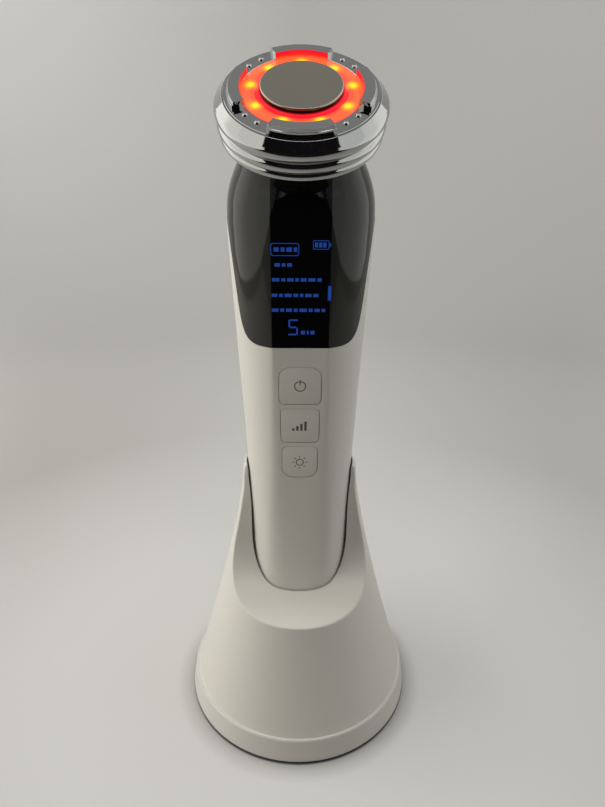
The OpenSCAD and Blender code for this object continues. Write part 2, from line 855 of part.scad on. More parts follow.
module front_shell() {
  color("white") {
    difference() {
      intersection() {
        handle_shell(shell_wall);
        front_half();
      }
      cover_region(seam_gap);
      strip_room(fit);
      cap_opening();
      key_windows();
    }
    board_posts();
    cap_boss(-1);
  }
}

module rear_shell() {
  color("white") {
    difference() {
      intersection() {
        handle_shell(shell_wall);
        rear_half();
      }
      cover_region(seam_gap);
      strip_room(fit);
      cap_opening();
    }
    cap_boss(1);
  }
}

module display_cover() {
  color("black") intersection() {
    handle_shell(cover_wall);
    cover_region(0);
  }
}

module side_strips() {
  color("silver") intersection() {
    difference() {
      grip_form(strip_proud, seat_z + 1);
      grip_form(-strip_depth, seat_z - 2);
    }
    strip_room(0);
    translate([-far, -far, seat_z + end_round]) cube([2 * far, 2 * far, strip_len - end_round]);
  }
}

module bottom_cap() {
  color("white") difference() {
    union() {
      translate([0, 0, seat_z]) cylinder(r = cap_r, h = shell_wall + 0.5);
      intersection() {
        translate([0, 0, seat_z + shell_wall]) cylinder(r = cap_flange_r, h = cap_flange_t);
        grip_form(-shell_wall - fit, seat_z);
      }
    }
    for (side = [-1, 1]) {
      translate([side * contact_pitch / 2, 0, seat_z - 1]) {
        cylinder(r = pad_r + fit, h = 1 + pad_t);
        cylinder(r = pad_stem_r + fit, h = far);
      }
      translate([0, side * cap_screw_y, seat_z - 1]) {
        cylinder(r = cap_screw[1] + 0.2, h = 1 + cap_screw_sink);
        screw_hole(cap_screw);
      }
    }
  }
}

module cap_screws() {
  color("silver") for (side = [-1, 1]) translate([0, side * cap_screw_y, seat_z + cap_screw_sink])
    screw(cap_screw);
}

module charge_pads() {
  color("gold") at_contacts() translate([0, 0, seat_z]) {
    cylinder(r = pad_r, h = pad_t);
    cylinder(r = pad_stem_r, h = pad_stem_top_z - seat_z);
  }
}

module pad_leads() {
  color("firebrick") for (side = [-1, 1]) wire([
    [side * contact_pitch / 2, 0, pad_stem_top_z],
    [side * contact_pitch / 2, 0, pad_stem_top_z + 1.5],
    [side * 12.4, -4, cell_low_z + 3],
    [side * 12.4, -5.5, board_low_z - 4],
    [side * 11, board_back_y + wire_r, board_low_z + 1],
    [side * 11, board_back_y + wire_r, board_low_z + 3]], wire_r);
}

// ---- Handset inside ----

module main_board() {
  color("darkgreen") difference() {
    translate([-board_half_w, board_front_y, board_low_z])
      cube([2 * board_half_w, board_t, board_top_z - board_low_z]);
    at_board_posts() translate([0, 0, -2 * board_t]) screw_hole(board_screw, 3 * board_t);
  }
}

module board_screws() {
  color("silver") at_board_posts() translate([0, 0, -board_t]) screw(board_screw);
}

module board_chips() {
  color("dimgray") {
    translate([-main_chip_w / 2, board_back_y, level_z - main_chip_w / 2])
      cube([main_chip_w, chip_t, main_chip_w]);
    translate([-side_chip_w / 2, board_back_y, mode_z + 1]) cube([side_chip_w, chip_t, side_chip_w - 1]);
    for (side = [-1, 1]) translate([side * (side_chip_w + 1.5) - side_chip_w / 2, board_back_y,
      mode_z - side_chip_w / 2]) cube([side_chip_w, chip_t + 0.4, side_chip_w]);
  }
}

module tact_switches() {
  color("silver") for (z = [mode_z, level_z, light_z]) {
    translate([-switch_w / 2, board_front_y - switch_t, z - switch_w / 2])
      cube([switch_w, switch_t, switch_w]);
    translate([0, board_front_y, z]) rotate([90, 0, 0])
      cylinder(r = switch_tip_r, h = board_front_y - switch_tip_y);
  }
}

module buzzer() {
  color("dimgray") translate([0, board_back_y, display_high_z - 14]) rotate([-90, 0, 0])
    cylinder(r = 5.5, h = 2.5);
}

module display_block(half_w, low_z, high_z) {
  translate([-half_w, -far, low_z]) cube([2 * half_w, far + board_front_y, high_z - low_z]);
}

module display_module() {
  color("midnightblue") intersection() {
    grip_layer(cover_wall + display_gap, display_t);
    display_block(display_half_w, display_low_z, display_high_z);
  }
}

module display_bracket() {
  color("gray") difference() {
    intersection() {
      grip_form(-cover_wall - display_gap - display_t, seat_z);
      display_block(display_half_w, display_low_z, display_high_z);
    }
    display_block(display_half_w - 1.2, display_low_z + 1.2, display_high_z - 1.2);
  }
}

module battery() {
  color("royalblue") translate([0, cell_y, cell_low_z]) {
    cylinder(r = cell_r, h = cell_len - 1);
    cylinder(r = 3, h = cell_len);
  }
}

module battery_cradle() {
  color("gainsboro") difference() {
    intersection() {
      translate([-cradle_w / 2, cell_y, cell_low_z + cradle_in])
        cube([cradle_w, far, cell_len - 2 * cradle_in]);
      grip_form(-shell_wall - 2 * fit, seat_z);
    }
    translate([0, cell_y, 0]) cylinder(r = cell_r + fit, h = far * 2);
  }
}

module battery_leads() {
  cell_top = cell_low_z + cell_len;
  color("firebrick") for (side = [-1, 1]) wire([
    [lead_x * side, cell_y, cell_top],
    [lead_x * side, cell_y, cell_top + 2.5],
    [lead_x * side, board_back_y + wire_r, cell_top + 5],
    [lead_x * side, board_back_y + wire_r, cell_top + 7]], wire_r);
}

module motor_can() {
  color("silver") translate([0, motor_y, motor_low_z]) difference() {
    cylinder(r = motor_r, h = motor_len);
    translate([0, 0, -1]) cylinder(r = shaft_r + fit, h = 1 + shaft_in + 0.3);
  }
}

module motor_clip() {
  color("gainsboro") difference() {
    intersection() {
      translate([-motor_r - 1.5, motor_y, motor_low_z + 1]) cube([2 * motor_r + 3, far, motor_len - 2]);
      grip_form(-shell_wall - 2 * fit, seat_z);
    }
    translate([0, motor_y, 0]) cylinder(r = motor_r + fit, h = 3 * far);
  }
}

module motor_weight() {
  weight_low = motor_low_z - weight_gap - weight_t;
  color("slategray") translate([0, motor_y, 0]) {
    translate([0, 0, weight_low]) intersection() {
      cylinder(r = motor_r - 0.2, h = weight_t);
      translate([-far, -far, 0]) cube([2 * far, far + shaft_r + 0.3, weight_t]);
    }
    translate([0, 0, weight_low]) cylinder(r = shaft_r, h = weight_t + weight_gap + shaft_in);
  }
}

module mode_button() { color("white") button(mode_z, mode_w, mode_h, corner_big, corner_small); }
module level_button() { color("white") button(level_z, level_w, level_h, corner_small, corner_small); }
module light_button() { color("white") button(light_z, light_w, light_h, corner_small, corner_big); }

// ---- Head ----

module head_bezel() {
  core_r = bezel_r - roll_r[2];
  // the slope from the lip runs into the first roll, almost without a corner
  lip = [face_r + bezel_lip, bezel_front_h];
  to_roll = [bezel_r - roll_in[0] - roll_r[0], roll_h[0]] - lip;
  reach = roll_r[0] - slope_bite;
  slope_turn = asin(reach / norm(to_roll)) + atan2(to_roll[1], to_roll[0]);
  slope_end = lip + sqrt(pow(norm(to_roll), 2) - pow(reach, 2)) * [cos(slope_turn), sin(slope_turn)];
  color("silver") head_frame() rotate_extrude() difference() {
    union() {
      for (i = [0 : 2]) translate([bezel_r - roll_in[i] - roll_r[i], roll_h[i]]) circle(roll_r[i], $fn = 48);
      polygon([[bezel_in_r - 1, carrier_low_h], [bezel_in_r + 1.4, carrier_low_h], [core_r, roll_h[2]],
        [core_r, roll_h[0]], slope_end, lip, [bezel_in_r - 1, bezel_front_h]]);
    }
    translate([0, -far]) square([bezel_in_r, 2 * far]);
    translate([0, -face_t]) square([face_r + fit, far]);
    translate([0, -far + carrier_low_h]) square([far, far]);
  }
}

module at_dots() {
  for (a = [45 : 90 : 315]) for (side = [-1, 1]) rotate([0, 0, a + side * dot_spread])
    translate([dot_circle_r, 0, 0]) children();
}

module at_segments() {
  for (a = [0 : 90 : 270]) rotate([0, 0, a]) children();
}

module face_ring() {
  color("silver") head_frame() difference() {
    ring(face_r, light_out_r + fit, -face_t, 0);
    at_dots() translate([0, 0, -far]) cylinder(r = dot_pin_r + fit, h = 2 * far, $fn = 24);
    at_segments() translate([segment_r - segment_pin_in, 0, -far])
      cylinder(r = segment_pin_r + fit, h = 2 * far, $fn = 32);
  }
}

module segments() {
  inner_r = light_out_r + fit;
  upper_r = segment_r - segment_step;
  color("silver") head_frame() at_segments() {
    rotate([0, 0, -segment_angle / 2]) rotate_extrude(angle = segment_angle)
      polygon([[inner_r, 0], [segment_r, 0], [segment_r, segment_h / 2], [upper_r, segment_h / 2],
        [upper_r, segment_h - edge_soft], [upper_r - edge_soft, segment_h], [inner_r + edge_soft, segment_h],
        [inner_r, segment_h - edge_soft]]);
    translate([segment_r - segment_pin_in, 0, -face_t - 1.2])
      cylinder(r = segment_pin_r, h = face_t + 1.6, $fn = 32);
  }
}

module probe_dots() {
  color("silver") head_frame() at_dots() {
    intersection() {
      translate([0, 0, -0.2]) sphere(r = dot_r, $fn = 32);
      translate([-2, -2, 0]) cube(4);
    }
    translate([0, 0, -1.2]) cylinder(r = dot_pin_r, h = 1.3, $fn = 24);
  }
}

module light_ring() {
  lip_r = light_out_r + 1.4;
  low = -face_t - flange_ring_t;
  color("orangered") head_frame() rotate_extrude() polygon([[light_in_r, low], [lip_r, low], [lip_r, -face_t],
    [light_out_r, -face_t], [light_out_r, 0], [light_in_r + 1.1, 0], [light_in_r + 0.5, -0.5],
    [light_in_r, -0.5]]);
}

module cold_plate() {
  cap_low = plate_top_h - plate_cap_t;
  color("lightgray") head_frame() rotate_extrude() polygon(concat([[0, plate_low_h],
    [plate_stem_r, plate_low_h], [plate_stem_r, cap_low], [plate_r, cap_low]],
    [for (a = [0 : 22.5 : 90]) [plate_r - plate_round + plate_round * cos(a),
      plate_top_h - plate_round + plate_round * sin(a)]],
    [[0, plate_top_h]]));
}

module plate_seal() {
  color("gray") head_frame() ring(light_in_r - fit, plate_stem_r + fit, plate_low_h, 0.3);
}

module cooling_module() {
  color("whitesmoke") head_frame() translate([-cooler_w / 2, -cooler_w / 2, cooler_low_h])
    cube([cooler_w, cooler_w, cooler_t]);
}

module at_head_screws() {
  for (a = [30 : 120 : 270]) rotate([0, 0, a]) translate([head_screw_circle_r, 0, sink_low_h]) children();
}

module heat_sink() {
  color("silver") head_frame() difference() {
    union() {
      translate([0, 0, sink_low_h]) cylinder(r = light_in_r + 0.1, h = sink_base_t);
      translate([0, 0, sink_low_h]) cylinder(r = sink_ear_r, h = head_screw_land);
      intersection() {
        for (i = [-3 : 3]) translate([i * fin_pitch - fin_t / 2, -far, sink_low_h - fin_len])
          cube([fin_t, 2 * far, fin_len + 0.1]);
        translate([0, 0, sink_low_h - fin_len]) cylinder(r = sleeve_low_in_r - 0.6, h = fin_len + 0.1);
      }
    }
    at_head_screws() translate([0, 0, -1]) screw_hole(head_screw, 3);
  }
}

module led_board() {
  color("darkgreen") head_frame() ring(light_out_r - 0.1, light_in_r + 0.5, led_top_h - led_board_t, led_top_h);
}

module leds() {
  mid_r = (light_in_r + light_out_r) / 2;
  color("orange") head_frame() for (i = [0 : led_count - 1]) rotate([0, 0, 90 + 360 * i / led_count])
    translate([mid_r - led_w / 2, -led_l / 2, led_top_h]) cube([led_w, led_l, led_h]);
}

module head_carrier() {
  wall_in = light_out_r;
  wall_out = light_out_r + 1.6;
  ledge_low = sink_low_h - ledge_t;
  color("dimgray") head_frame() difference() {
    union() {
      ring(wall_out, wall_in, carrier_low_h, -face_t - flange_ring_t);
      ring(wall_in + 0.5, wall_in - 0.7, ledge_low, led_top_h - led_board_t);
      ring(wall_in + 0.5, sleeve_low_in_r - 0.1, ledge_low, sink_low_h);
      ring(bezel_in_r - fit, wall_in, carrier_low_h, carrier_low_h + 1.7);
      ring(sleeve_out_r, sleeve_out_r - sleeve_t, sleeve_low_h, ledge_low + 0.2);
    }
    at_head_screws() translate([0, 0, 1 - far]) screw_hole(head_screw);
  }
}

module head_screws() {
  color("silver") head_frame() at_head_screws() translate([0, 0, head_screw_land]) rotate([180, 0, 0])
    screw(head_screw);
}

module neck_gasket() {
  color("black") head_frame() ring(neck_top_r - 0.1, sleeve_out_r + 0.1, neck_h, carrier_low_h);
}

module head_flex() {
  low_h = sleeve_low_h - 1.5;
  top_h = sink_low_h - ledge_t;
  color("peru") ribbon([[0, board_back_y + flex_t / 2, board_top_z - flex_on_board],
    [0, board_back_y + flex_t / 2, board_top_z + 1],
    [0, head_y + flex_head_y * cos(head_tilt) - low_h * sin(head_tilt),
      head_z + flex_head_y * sin(head_tilt) + low_h * cos(head_tilt)],
    [0, head_y + flex_head_y * cos(head_tilt) - top_h * sin(head_tilt),
      head_z + flex_head_y * sin(head_tilt) + top_h * cos(head_tilt)]], flex_w, flex_t);
}

stand_shell();
stand_base();
stand_feet();
base_screws();
ballast();
dock_plate();
dock_screws();
dock_board();
contact_barrels();
contact_pin_left();
contact_pin_right();
contact_spring_left();
contact_spring_right();
inlet_board();
inlet_screws();
inlet_shell();
inlet_tongue();
dock_leads();
front_shell();
rear_shell();
display_cover();
side_strips();
bottom_cap();
cap_screws();
charge_pads();
pad_leads();
main_board();
board_screws();
board_chips();
tact_switches();
buzzer();
display_module();
display_bracket();
battery();
battery_cradle();
battery_leads();
motor_can();
motor_clip();
motor_weight();
mode_button();
level_button();
light_button();
head_bezel();
face_ring();
segments();
probe_dots();
light_ring();
cold_plate();
plate_seal();
cooling_module();
heat_sink();
led_board();
leds();
head_carrier();
head_screws();
neck_gasket();
head_flex();
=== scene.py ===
"""Finished look of a facial toning handset standing in its conical charging stand."""

import json
import math

import bmesh
import bpy
import numpy as np
from bpy.props import FloatProperty, FloatVectorProperty, PointerProperty
from bpy.types import Operator, Panel, PropertyGroup
from mathutils import Matrix, Vector


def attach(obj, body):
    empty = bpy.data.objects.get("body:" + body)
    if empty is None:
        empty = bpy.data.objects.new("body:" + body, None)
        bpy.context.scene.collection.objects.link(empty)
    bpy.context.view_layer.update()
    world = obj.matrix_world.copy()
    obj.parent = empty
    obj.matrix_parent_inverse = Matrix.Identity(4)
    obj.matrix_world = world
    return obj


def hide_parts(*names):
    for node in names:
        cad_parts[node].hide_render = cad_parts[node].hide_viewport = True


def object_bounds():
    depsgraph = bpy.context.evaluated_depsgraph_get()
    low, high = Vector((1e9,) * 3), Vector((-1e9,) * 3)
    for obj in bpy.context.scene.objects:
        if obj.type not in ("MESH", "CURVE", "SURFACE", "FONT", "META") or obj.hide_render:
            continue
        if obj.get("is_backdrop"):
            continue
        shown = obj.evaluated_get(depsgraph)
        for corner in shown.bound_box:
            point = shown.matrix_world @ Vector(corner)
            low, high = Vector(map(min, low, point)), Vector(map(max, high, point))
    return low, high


bl_info = {
    "name": "Facial Toning Handset",
    "version": (1, 0, 0),
    "blender": (4, 5, 0),
    "location": "View3D > Sidebar > Toning Handset",
    "description": "Builds the shells, keys, head, stand and studio of a facial toning handset",
    "category": "Object",
}

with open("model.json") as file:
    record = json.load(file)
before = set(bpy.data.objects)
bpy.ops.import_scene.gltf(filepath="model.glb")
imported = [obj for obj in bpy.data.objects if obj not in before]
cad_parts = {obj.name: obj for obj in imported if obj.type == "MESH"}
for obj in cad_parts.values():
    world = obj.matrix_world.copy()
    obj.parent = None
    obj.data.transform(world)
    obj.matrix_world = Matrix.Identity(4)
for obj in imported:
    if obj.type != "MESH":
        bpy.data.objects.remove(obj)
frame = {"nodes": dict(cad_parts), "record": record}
MM = 0.001

# Heights and radii of the handle, in millimetres
SEAT_Z, GRIP_TOP_Z, SHOULDER_Z, COVER_Z, SEAM_Y = 28.0, 84.0, 192.0, 154.6, 1.5
END_ROUND = 3.0
FOOT_R, GRIP_R, SHOULDER_R = 17.8, 18.3, 23.45
SIDE_PULLS = (102, 182)  # heights towards which the side's curve leaves the grip and reaches the shoulder
FACET_HALVES = (7.7, 8.8)  # half-widths of the front facet at the seat and at the cover
NECK_RISE, NECK_DRIFT, NECK_BEND = 24.1, 6.16, 1.85
NECK_DISH = 0.0025  # how fast the facet falls back above the shoulder
BACK_Y, BACK_BLEND = -12.0, 1.6
EDGE_BAND = 1.6  # half-width of the close columns along the facet's edge
BACK_LINE = [(28, 16.8), (60, 17.2), (110, 17.85), (150, 18.4), (173, 18.62), (192, 18.1)]
NECK_LINE = [(192, 23.45), (196.6, 23.15), (199.7, 22.65), (202.5, 21.85), (205.2, 20.75),
             (208.2, 19.3), (211.5, 18.0), (216.1, 17.0)]
NECK_FRONT = [(0, 0.0), (0.33, 0.25), (0.67, 1.1), (0.85, 0.8), (1, 0.0)]
NECK_BACK = [(0, 18.1), (0.33, 17.2), (0.67, 16.5), (1, 17.0)]
SOFTNESS = [(28, 8.0), (60, 7.0), (84, 4.4), (104, 2.2), (128, 1.2), (146, 0.5), (156, 0.14), (230, 0.14)]
EDGE_CURVES = [[(-18, 0), (-12.6, 0), (-11, 5), (-10.2, 12)],
               [(-10.2, 12), (-9.2, 21), (-8.5, 31), (-3, 41)],
               [(-3, 41), (2.5, 51), (12, 56), (26, 62)]]

# Heights and radii of the stand, in millimetres
BAND_H, RIM_H, RIM_ROUND = 10.5, 105.0, 8.0
CONE_FOOT_R, CONE_TOP_R, FLARE = 42.6, 20.4, 1.3
SCOOP_R, SCOOP_LOW_Z, SCOOP_WALL_Y, SCOOP_LEAN = 25.0, 52.0, -7.3, 2.2
SCOOP_MID_Y, SCOOP_MID_Z = SCOOP_WALL_Y - SCOOP_R, SCOOP_LOW_Z + SCOOP_R
POCKET_GAP, POCKET_FLOOR_Z = 0.65, 26.0
SWELL, SWELL_Z, SWELL_REACH = 0.5, 73.0, 22.0  # how much the gap widens beside the handle, and where
STAND_WALL = 1.7

# Head: its face centre and tilt, from which heights h are counted along its own axis
HEAD_TILT = math.radians(35)
HEAD = Matrix.Translation((0, -13.5, 226.6)) @ Matrix.Rotation(HEAD_TILT, 4, "X")

# Keys: name, height of the centre, width, height, upper and lower corner radius
KEYS = [("mode_button", 141.5, 13.6, 13.0, 3.8, 1.8),
        ("level_button", 127.0, 12.7, 12.5, 1.8, 1.8),
        ("light_button", 113.0, 12.0, 12.0, 1.8, 3.8)]


# ---- Small tools ----

def bezier(t, a, b, c, d):
    return (1 - t) ** 3 * a + 3 * (1 - t) ** 2 * t * b + 3 * (1 - t) * t * t * c + t ** 3 * d


def smooth_line(table, count=400):
    """A dense, monotone curve through a table's points, as arrays for np.interp."""
    x, y = (np.array(v, float) for v in zip(*table))
    step = np.diff(x)
    slope = np.diff(y) / step
    m = np.zeros(len(x))
    for i in range(1, len(x) - 1):
        if slope[i - 1] * slope[i] > 0:
            a, b = 2 * step[i] + step[i - 1], step[i] + 2 * step[i - 1]
            m[i] = (a + b) / (a / slope[i - 1] + b / slope[i])
    m[0], m[-1] = slope[0], slope[-1]
    at = np.linspace(x[0], x[-1], count)
    i = np.clip(np.searchsorted(x, at, side="right") - 1, 0, len(x) - 2)
    t = (at - x[i]) / step[i]
    value = ((2 * t ** 3 - 3 * t ** 2 + 1) * y[i] + (t ** 3 - 2 * t ** 2 + t) * step[i] * m[i]
             + (3 * t ** 2 - 2 * t ** 3) * y[i + 1] + (t ** 3 - t ** 2) * step[i] * m[i + 1])
    return at, value


def soft_min(a, b, k):
    """The smaller of two values, blended where they differ by less than k."""
    h = np.maximum(k - np.abs(a - b), 0) / k
    return np.minimum(a, b) - h ** 3 * k / 6


def soft_max(a, b, k):
    return -soft_min(-a, -b, k)


def side_curve():
    """Radius of the handle's side over its height."""
    t = np.linspace(0, 1, 300)
    z = bezier(t, GRIP_TOP_Z, *SIDE_PULLS, SHOULDER_Z)
    r = bezier(t, GRIP_R, GRIP_R, SHOULDER_R, SHOULDER_R)
    return np.concatenate([[SEAT_Z], z]), np.concatenate([[FOOT_R], r])


SIDE = side_curve()
BACK = smooth_line(BACK_LINE)
NECK = smooth_line(NECK_LINE)
NECK_F = smooth_line(NECK_FRONT)
NECK_B = smooth_line(NECK_BACK)
SOFT = smooth_line(SOFTNESS)


def facet_half(z):
    return np.interp(z, [SEAT_Z, COVER_Z], FACET_HALVES)


def facet_y(z):
    """Depth of the flat front facet at a height."""
    r = np.interp(np.minimum(z, SHOULDER_Z), *SIDE)
    return -np.sqrt(r ** 2 - facet_half(z) ** 2) + NECK_DISH * np.maximum(z - SHOULDER_Z, 0) ** 2


def centre_line(w):
    """At a station: share of the neck passed, then height, depth and side radius of the handle's middle."""
    low = SEAT_Z + END_ROUND
    t = np.clip(w - 1, 0, 1)
    cz = np.where(w <= 1, low + w * (SHOULDER_Z - low), SHOULDER_Z + NECK_RISE * t)
    r = np.where(w <= 1, np.interp(cz, *SIDE), np.interp(cz, *NECK))
    return t, cz, -NECK_DRIFT * t ** NECK_BEND, r


def handle_point(w, phi, grow=0.0):
    """The handle's surface. Station w is 0 to 1 up to the shoulder and 1 to 2 up the neck."""
    w, phi = np.broadcast_arrays(np.asarray(w, float), np.asarray(phi, float))
    t, cz, cy, r = centre_line(w)
    tilt = HEAD_TILT * t
    s, c = -np.cos(phi), np.abs(np.sin(phi))
    side = r + np.where(s < 0, np.interp(t, *NECK_F) * s * s, 0)
    rear = np.where(w <= 1, np.interp(cz, *BACK), np.interp(t, *NECK_B))
    e = cy - BACK_Y
    back = -e * s + np.sqrt(np.maximum((rear + e) ** 2 - (e * c) ** 2, 0))
    out = soft_min(side, back, BACK_BLEND)
    k = np.interp(cz, *SOFT)
    # the facet is moved out by what the blend takes off at its middle
    flat = np.abs(facet_y(cz) - cy)
    lift = np.zeros(k.shape)
    for _ in range(6):
        lift = (np.maximum(k - np.abs(r - flat - lift), 0) / k) ** 3 * k / 6 * (w <= 1)
    best = out
    forward, far = -0.25, 99.0
    for _ in range(4):
        z = cz + best * s * np.sin(tilt)
        reach = np.where(s < forward, (facet_y(z) - cy) / (np.minimum(s, forward) * np.cos(tilt)), far)
        best = soft_min(out, reach + lift, k)
    best = best + grow
    x = best * np.sin(phi)
    return x, cy + best * s * np.cos(tilt), cz + best * s * np.sin(tilt)


def handle_outline(z, s):
    """Radius of the handle at a height, in the direction whose sine is s."""
    low = SEAT_Z + END_ROUND
    w = (np.clip(z, low, SHOULDER_Z) - low) / (SHOULDER_Z - low)
    x, y, _ = handle_point(w, np.arccos(np.clip(-s, -1, 1)))
    return np.hypot(x, y)


def cover_edge():
    """The display cover's lower edge in side view, as heights over depths."""
    y, z = [-60.0], [0.0]
    for p in EDGE_CURVES:
        for t in np.linspace(0, 1, 40)[1 if p is not EDGE_CURVES[0] else 0:]:
            y.append(bezier(t, *(q[0] for q in p)))
            z.append(bezier(t, *(q[1] for q in p)))
    return np.array(y), np.array(z) + COVER_Z


EDGE = cover_edge()

# Columns from the front centre to the back centre of one half
FLAT_COLS, EDGE_COLS, SIDE_COLS, BACK_COLS = 8, 10, 51, 40
SEAM = FLAT_COLS + EDGE_COLS + SIDE_COLS
LAST = SEAM + BACK_COLS


def side_fractions():
    """Places of the side's columns, from 0 to 1: closest where the cover's edge rises steeply."""
    knots = np.concatenate([np.linspace(-17.6, -12.9, 11)[:-1], np.linspace(-12.9, -9.9, 21)[:-1],
                            np.linspace(-9.9, -3, 15)[:-1], np.linspace(-3, 1.5, 8)])
    mean_r = 21.9
    phi = np.arccos(np.clip(-knots / mean_r, -1, 1))
    return (phi - phi[0]) / (phi[-1] - phi[0])


SIDE_FR = side_fractions()


def column_angle(j, w):
    """Angle from the front of column j at station w."""
    sign, j = np.sign(j), np.abs(j)
    w, j = np.broadcast_arrays(np.asarray(w, float), j)
    t, cz, cy, r = centre_line(w)
    edge = np.arcsin(facet_half(cz) / r)
    half = EDGE_BAND / r
    seam = np.arccos(np.clip(-(SEAM_Y - cy) / (r * np.cos(HEAD_TILT * t)), -1, 1))
    flat = j / FLAT_COLS * (edge - half)
    near = edge - half + 2 * half * (j - FLAT_COLS) / EDGE_COLS
    f = np.interp(j - FLAT_COLS - EDGE_COLS, np.arange(len(SIDE_FR)), SIDE_FR)
    side = edge + half + f * (seam - edge - half)
    back = seam + (j - SEAM) / BACK_COLS * (math.pi - seam)
    phi = np.where(j < SEAM, side, back)
    phi = np.where(j < FLAT_COLS, flat, np.where(j < FLAT_COLS + EDGE_COLS, near, phi))
    return phi * np.where(sign == 0, 1, sign)


def edge_station(j):
    """Station at which column j crosses the display cover's lower edge."""
    low, high = np.full(len(j), 0.5), np.full(len(j), 1.99)
    for _ in range(40):
        mid = (low + high) / 2
        _, y, z = handle_point(mid, column_angle(j, mid))
        above = z > np.interp(y, *EDGE)
        low, high = np.where(above, low, mid), np.where(above, mid, high)
    return (low + high) / 2


# ---- Mesh helpers ----

def grid(columns, rows, place):
    """A bmesh grid whose vertices are put by place(column, row) arrays, in millimetres."""
    bm = bmesh.new()
    bmesh.ops.create_grid(bm, x_segments=columns, y_segments=rows, size=1)
    i = np.array([(v.co.x + 1) / 2 * columns for v in bm.verts]).round().astype(int)
    j = np.array([(v.co.y + 1) / 2 * rows for v in bm.verts]).round().astype(int)
    for v, x, y, z in zip(bm.verts, *place(i, j)):
        v.co = (x, y, z)
    return bm


def point_out(bm):
    """Turns every face away from the vertical axis, judged by the whole mesh."""
    bmesh.ops.recalc_face_normals(bm, faces=bm.faces)
    if sum(f.calc_area() * f.normal.xy.dot(f.calc_center_median().xy) for f in bm.faces) < 0:
        bmesh.ops.reverse_faces(bm, faces=bm.faces)


def spun(profile, steps=192, angle=2 * math.pi, start=0.0):
    """Spins a closed profile of (radius, height) about the vertical axis."""
    bm = bmesh.new()
    verts = [bm.verts.new((r, 0, h)) for r, h in profile]
    edges = [bm.edges.new((a, b)) for a, b in zip(verts, verts[1:] + verts[:1]) if a.co.x + b.co.x > 1e-6]
    full = abs(angle - 2 * math.pi) < 1e-6
    if not full:
        bm.faces.new(verts)
    geom = bm.verts[:] + bm.edges[:] + bm.faces[:]
    if start:
        turned(bm, start, "Z")
    bmesh.ops.spin(bm, geom=geom, cent=(0, 0, 0), axis=(0, 0, 1), dvec=(0, 0, 0), angle=angle, steps=steps,
                   use_merge=full, use_normal_flip=False, use_duplicate=False)
    bmesh.ops.remove_doubles(bm, verts=bm.verts, dist=1e-4)
    bmesh.ops.recalc_face_normals(bm, faces=bm.faces)
    return bm


def filleted(points, steps=5):
    """Rounds the corners of a closed profile: each point is (r, h) or (r, h, radius)."""
    out = []
    for i, p in enumerate(points):
        if len(p) == 2:
            out.append(p)
            continue
        here = Vector(p[:2])
        before, after = Vector(points[i - 1][:2]), Vector(points[(i + 1) % len(points)][:2])
        a, b = (before - here).normalized(), (after - here).normalized()
        half = a.angle(b) / 2
        cut = min(p[2] / math.tan(half), (before - here).length * 0.49, (after - here).length * 0.49)
        first, last = here + a * cut, here + b * cut
        for n in range(steps + 1):
            t = n / steps
            out.append(tuple((1 - t) ** 2 * first + 2 * t * (1 - t) * here + t * t * last))
    return out


def key_outline(w, h, top, low, grow=0.0, steps=8):
    """Points of a key's rounded outline, counter-clockwise in front view."""
    half, tall = w / 2 + grow, h / 2 + grow
    corners = [(half, tall, top + grow, 0), (-half, tall, top + grow, 90),
               (-half, -tall, low + grow, 180), (half, -tall, low + grow, 270)]
    points = []
    for x, z, r, first in corners:
        cx, cz = x - math.copysign(r, x), z - math.copysign(r, z)
        for n in range(steps + 1):
            a = math.radians(first + 90 * n / steps)
            points.append((cx + r * math.cos(a), cz + r * math.sin(a)))
    return points


def moved_verts(result):
    """The vertices in what a bmesh extrusion gives back."""
    return [g for g in result["geom"] if isinstance(g, bmesh.types.BMVert)]


def turned(bm, angle, axis):
    bmesh.ops.rotate(bm, verts=bm.verts, cent=(0, 0, 0), matrix=Matrix.Rotation(angle, 3, axis))


def softened(bm, edges, offset, segments):
    """Rounds edges of a bmesh."""
    bmesh.ops.bevel(bm, geom=edges, offset=offset, offset_type="OFFSET", segments=segments, profile=0.5,
                    affect="EDGES", clamp_overlap=True, material=-1)


def prism(points, y0, y1):
    """A solid over an outline in (x, z), from depth y0 to y1."""
    bm = bmesh.new()
    face = bm.faces.new([bm.verts.new((x, y0, z)) for x, z in points])
    out = bmesh.ops.extrude_face_region(bm, geom=[face])
    bmesh.ops.translate(bm, vec=(0, y1 - y0, 0), verts=moved_verts(out))
    bmesh.ops.recalc_face_normals(bm, faces=bm.faces)
    return bm


def joined(target, source):
    """Adds one bmesh to another."""
    mesh = bpy.data.meshes.new("part")
    source.to_mesh(mesh)
    source.free()
    target.from_mesh(mesh)
    bpy.data.meshes.remove(mesh)
    return target


def smoothed(mesh, sharp):
    """Shades a mesh smooth except at edges sharper than an angle in degrees."""
    mesh.shade_smooth()
    mesh.set_sharp_from_angle(angle=math.radians(sharp))


def finished(name, bm, material, sharp=35, place=None):
    """Makes an object in metres from a bmesh in millimetres."""
    if place is not None:
        bmesh.ops.transform(bm, matrix=place, verts=bm.verts)
    bmesh.ops.scale(bm, vec=(MM, MM, MM), verts=bm.verts)
    mesh = bpy.data.meshes.new(name)
    bm.to_mesh(mesh)
    bm.free()
    smoothed(mesh, sharp)
    mesh.materials.append(material)
    obj = bpy.data.objects.new(name, mesh)
    bpy.context.scene.collection.objects.link(obj)
    return obj


def settle(obj, sharp=35):
    """Applies an object's modifiers to its mesh."""
    graph = bpy.context.evaluated_depsgraph_get()
    mesh = bpy.data.meshes.new_from_object(obj.evaluated_get(graph))
    obj.modifiers.clear()
    old, obj.data = obj.data, mesh
    bpy.data.meshes.remove(old)
    smoothed(mesh, sharp)


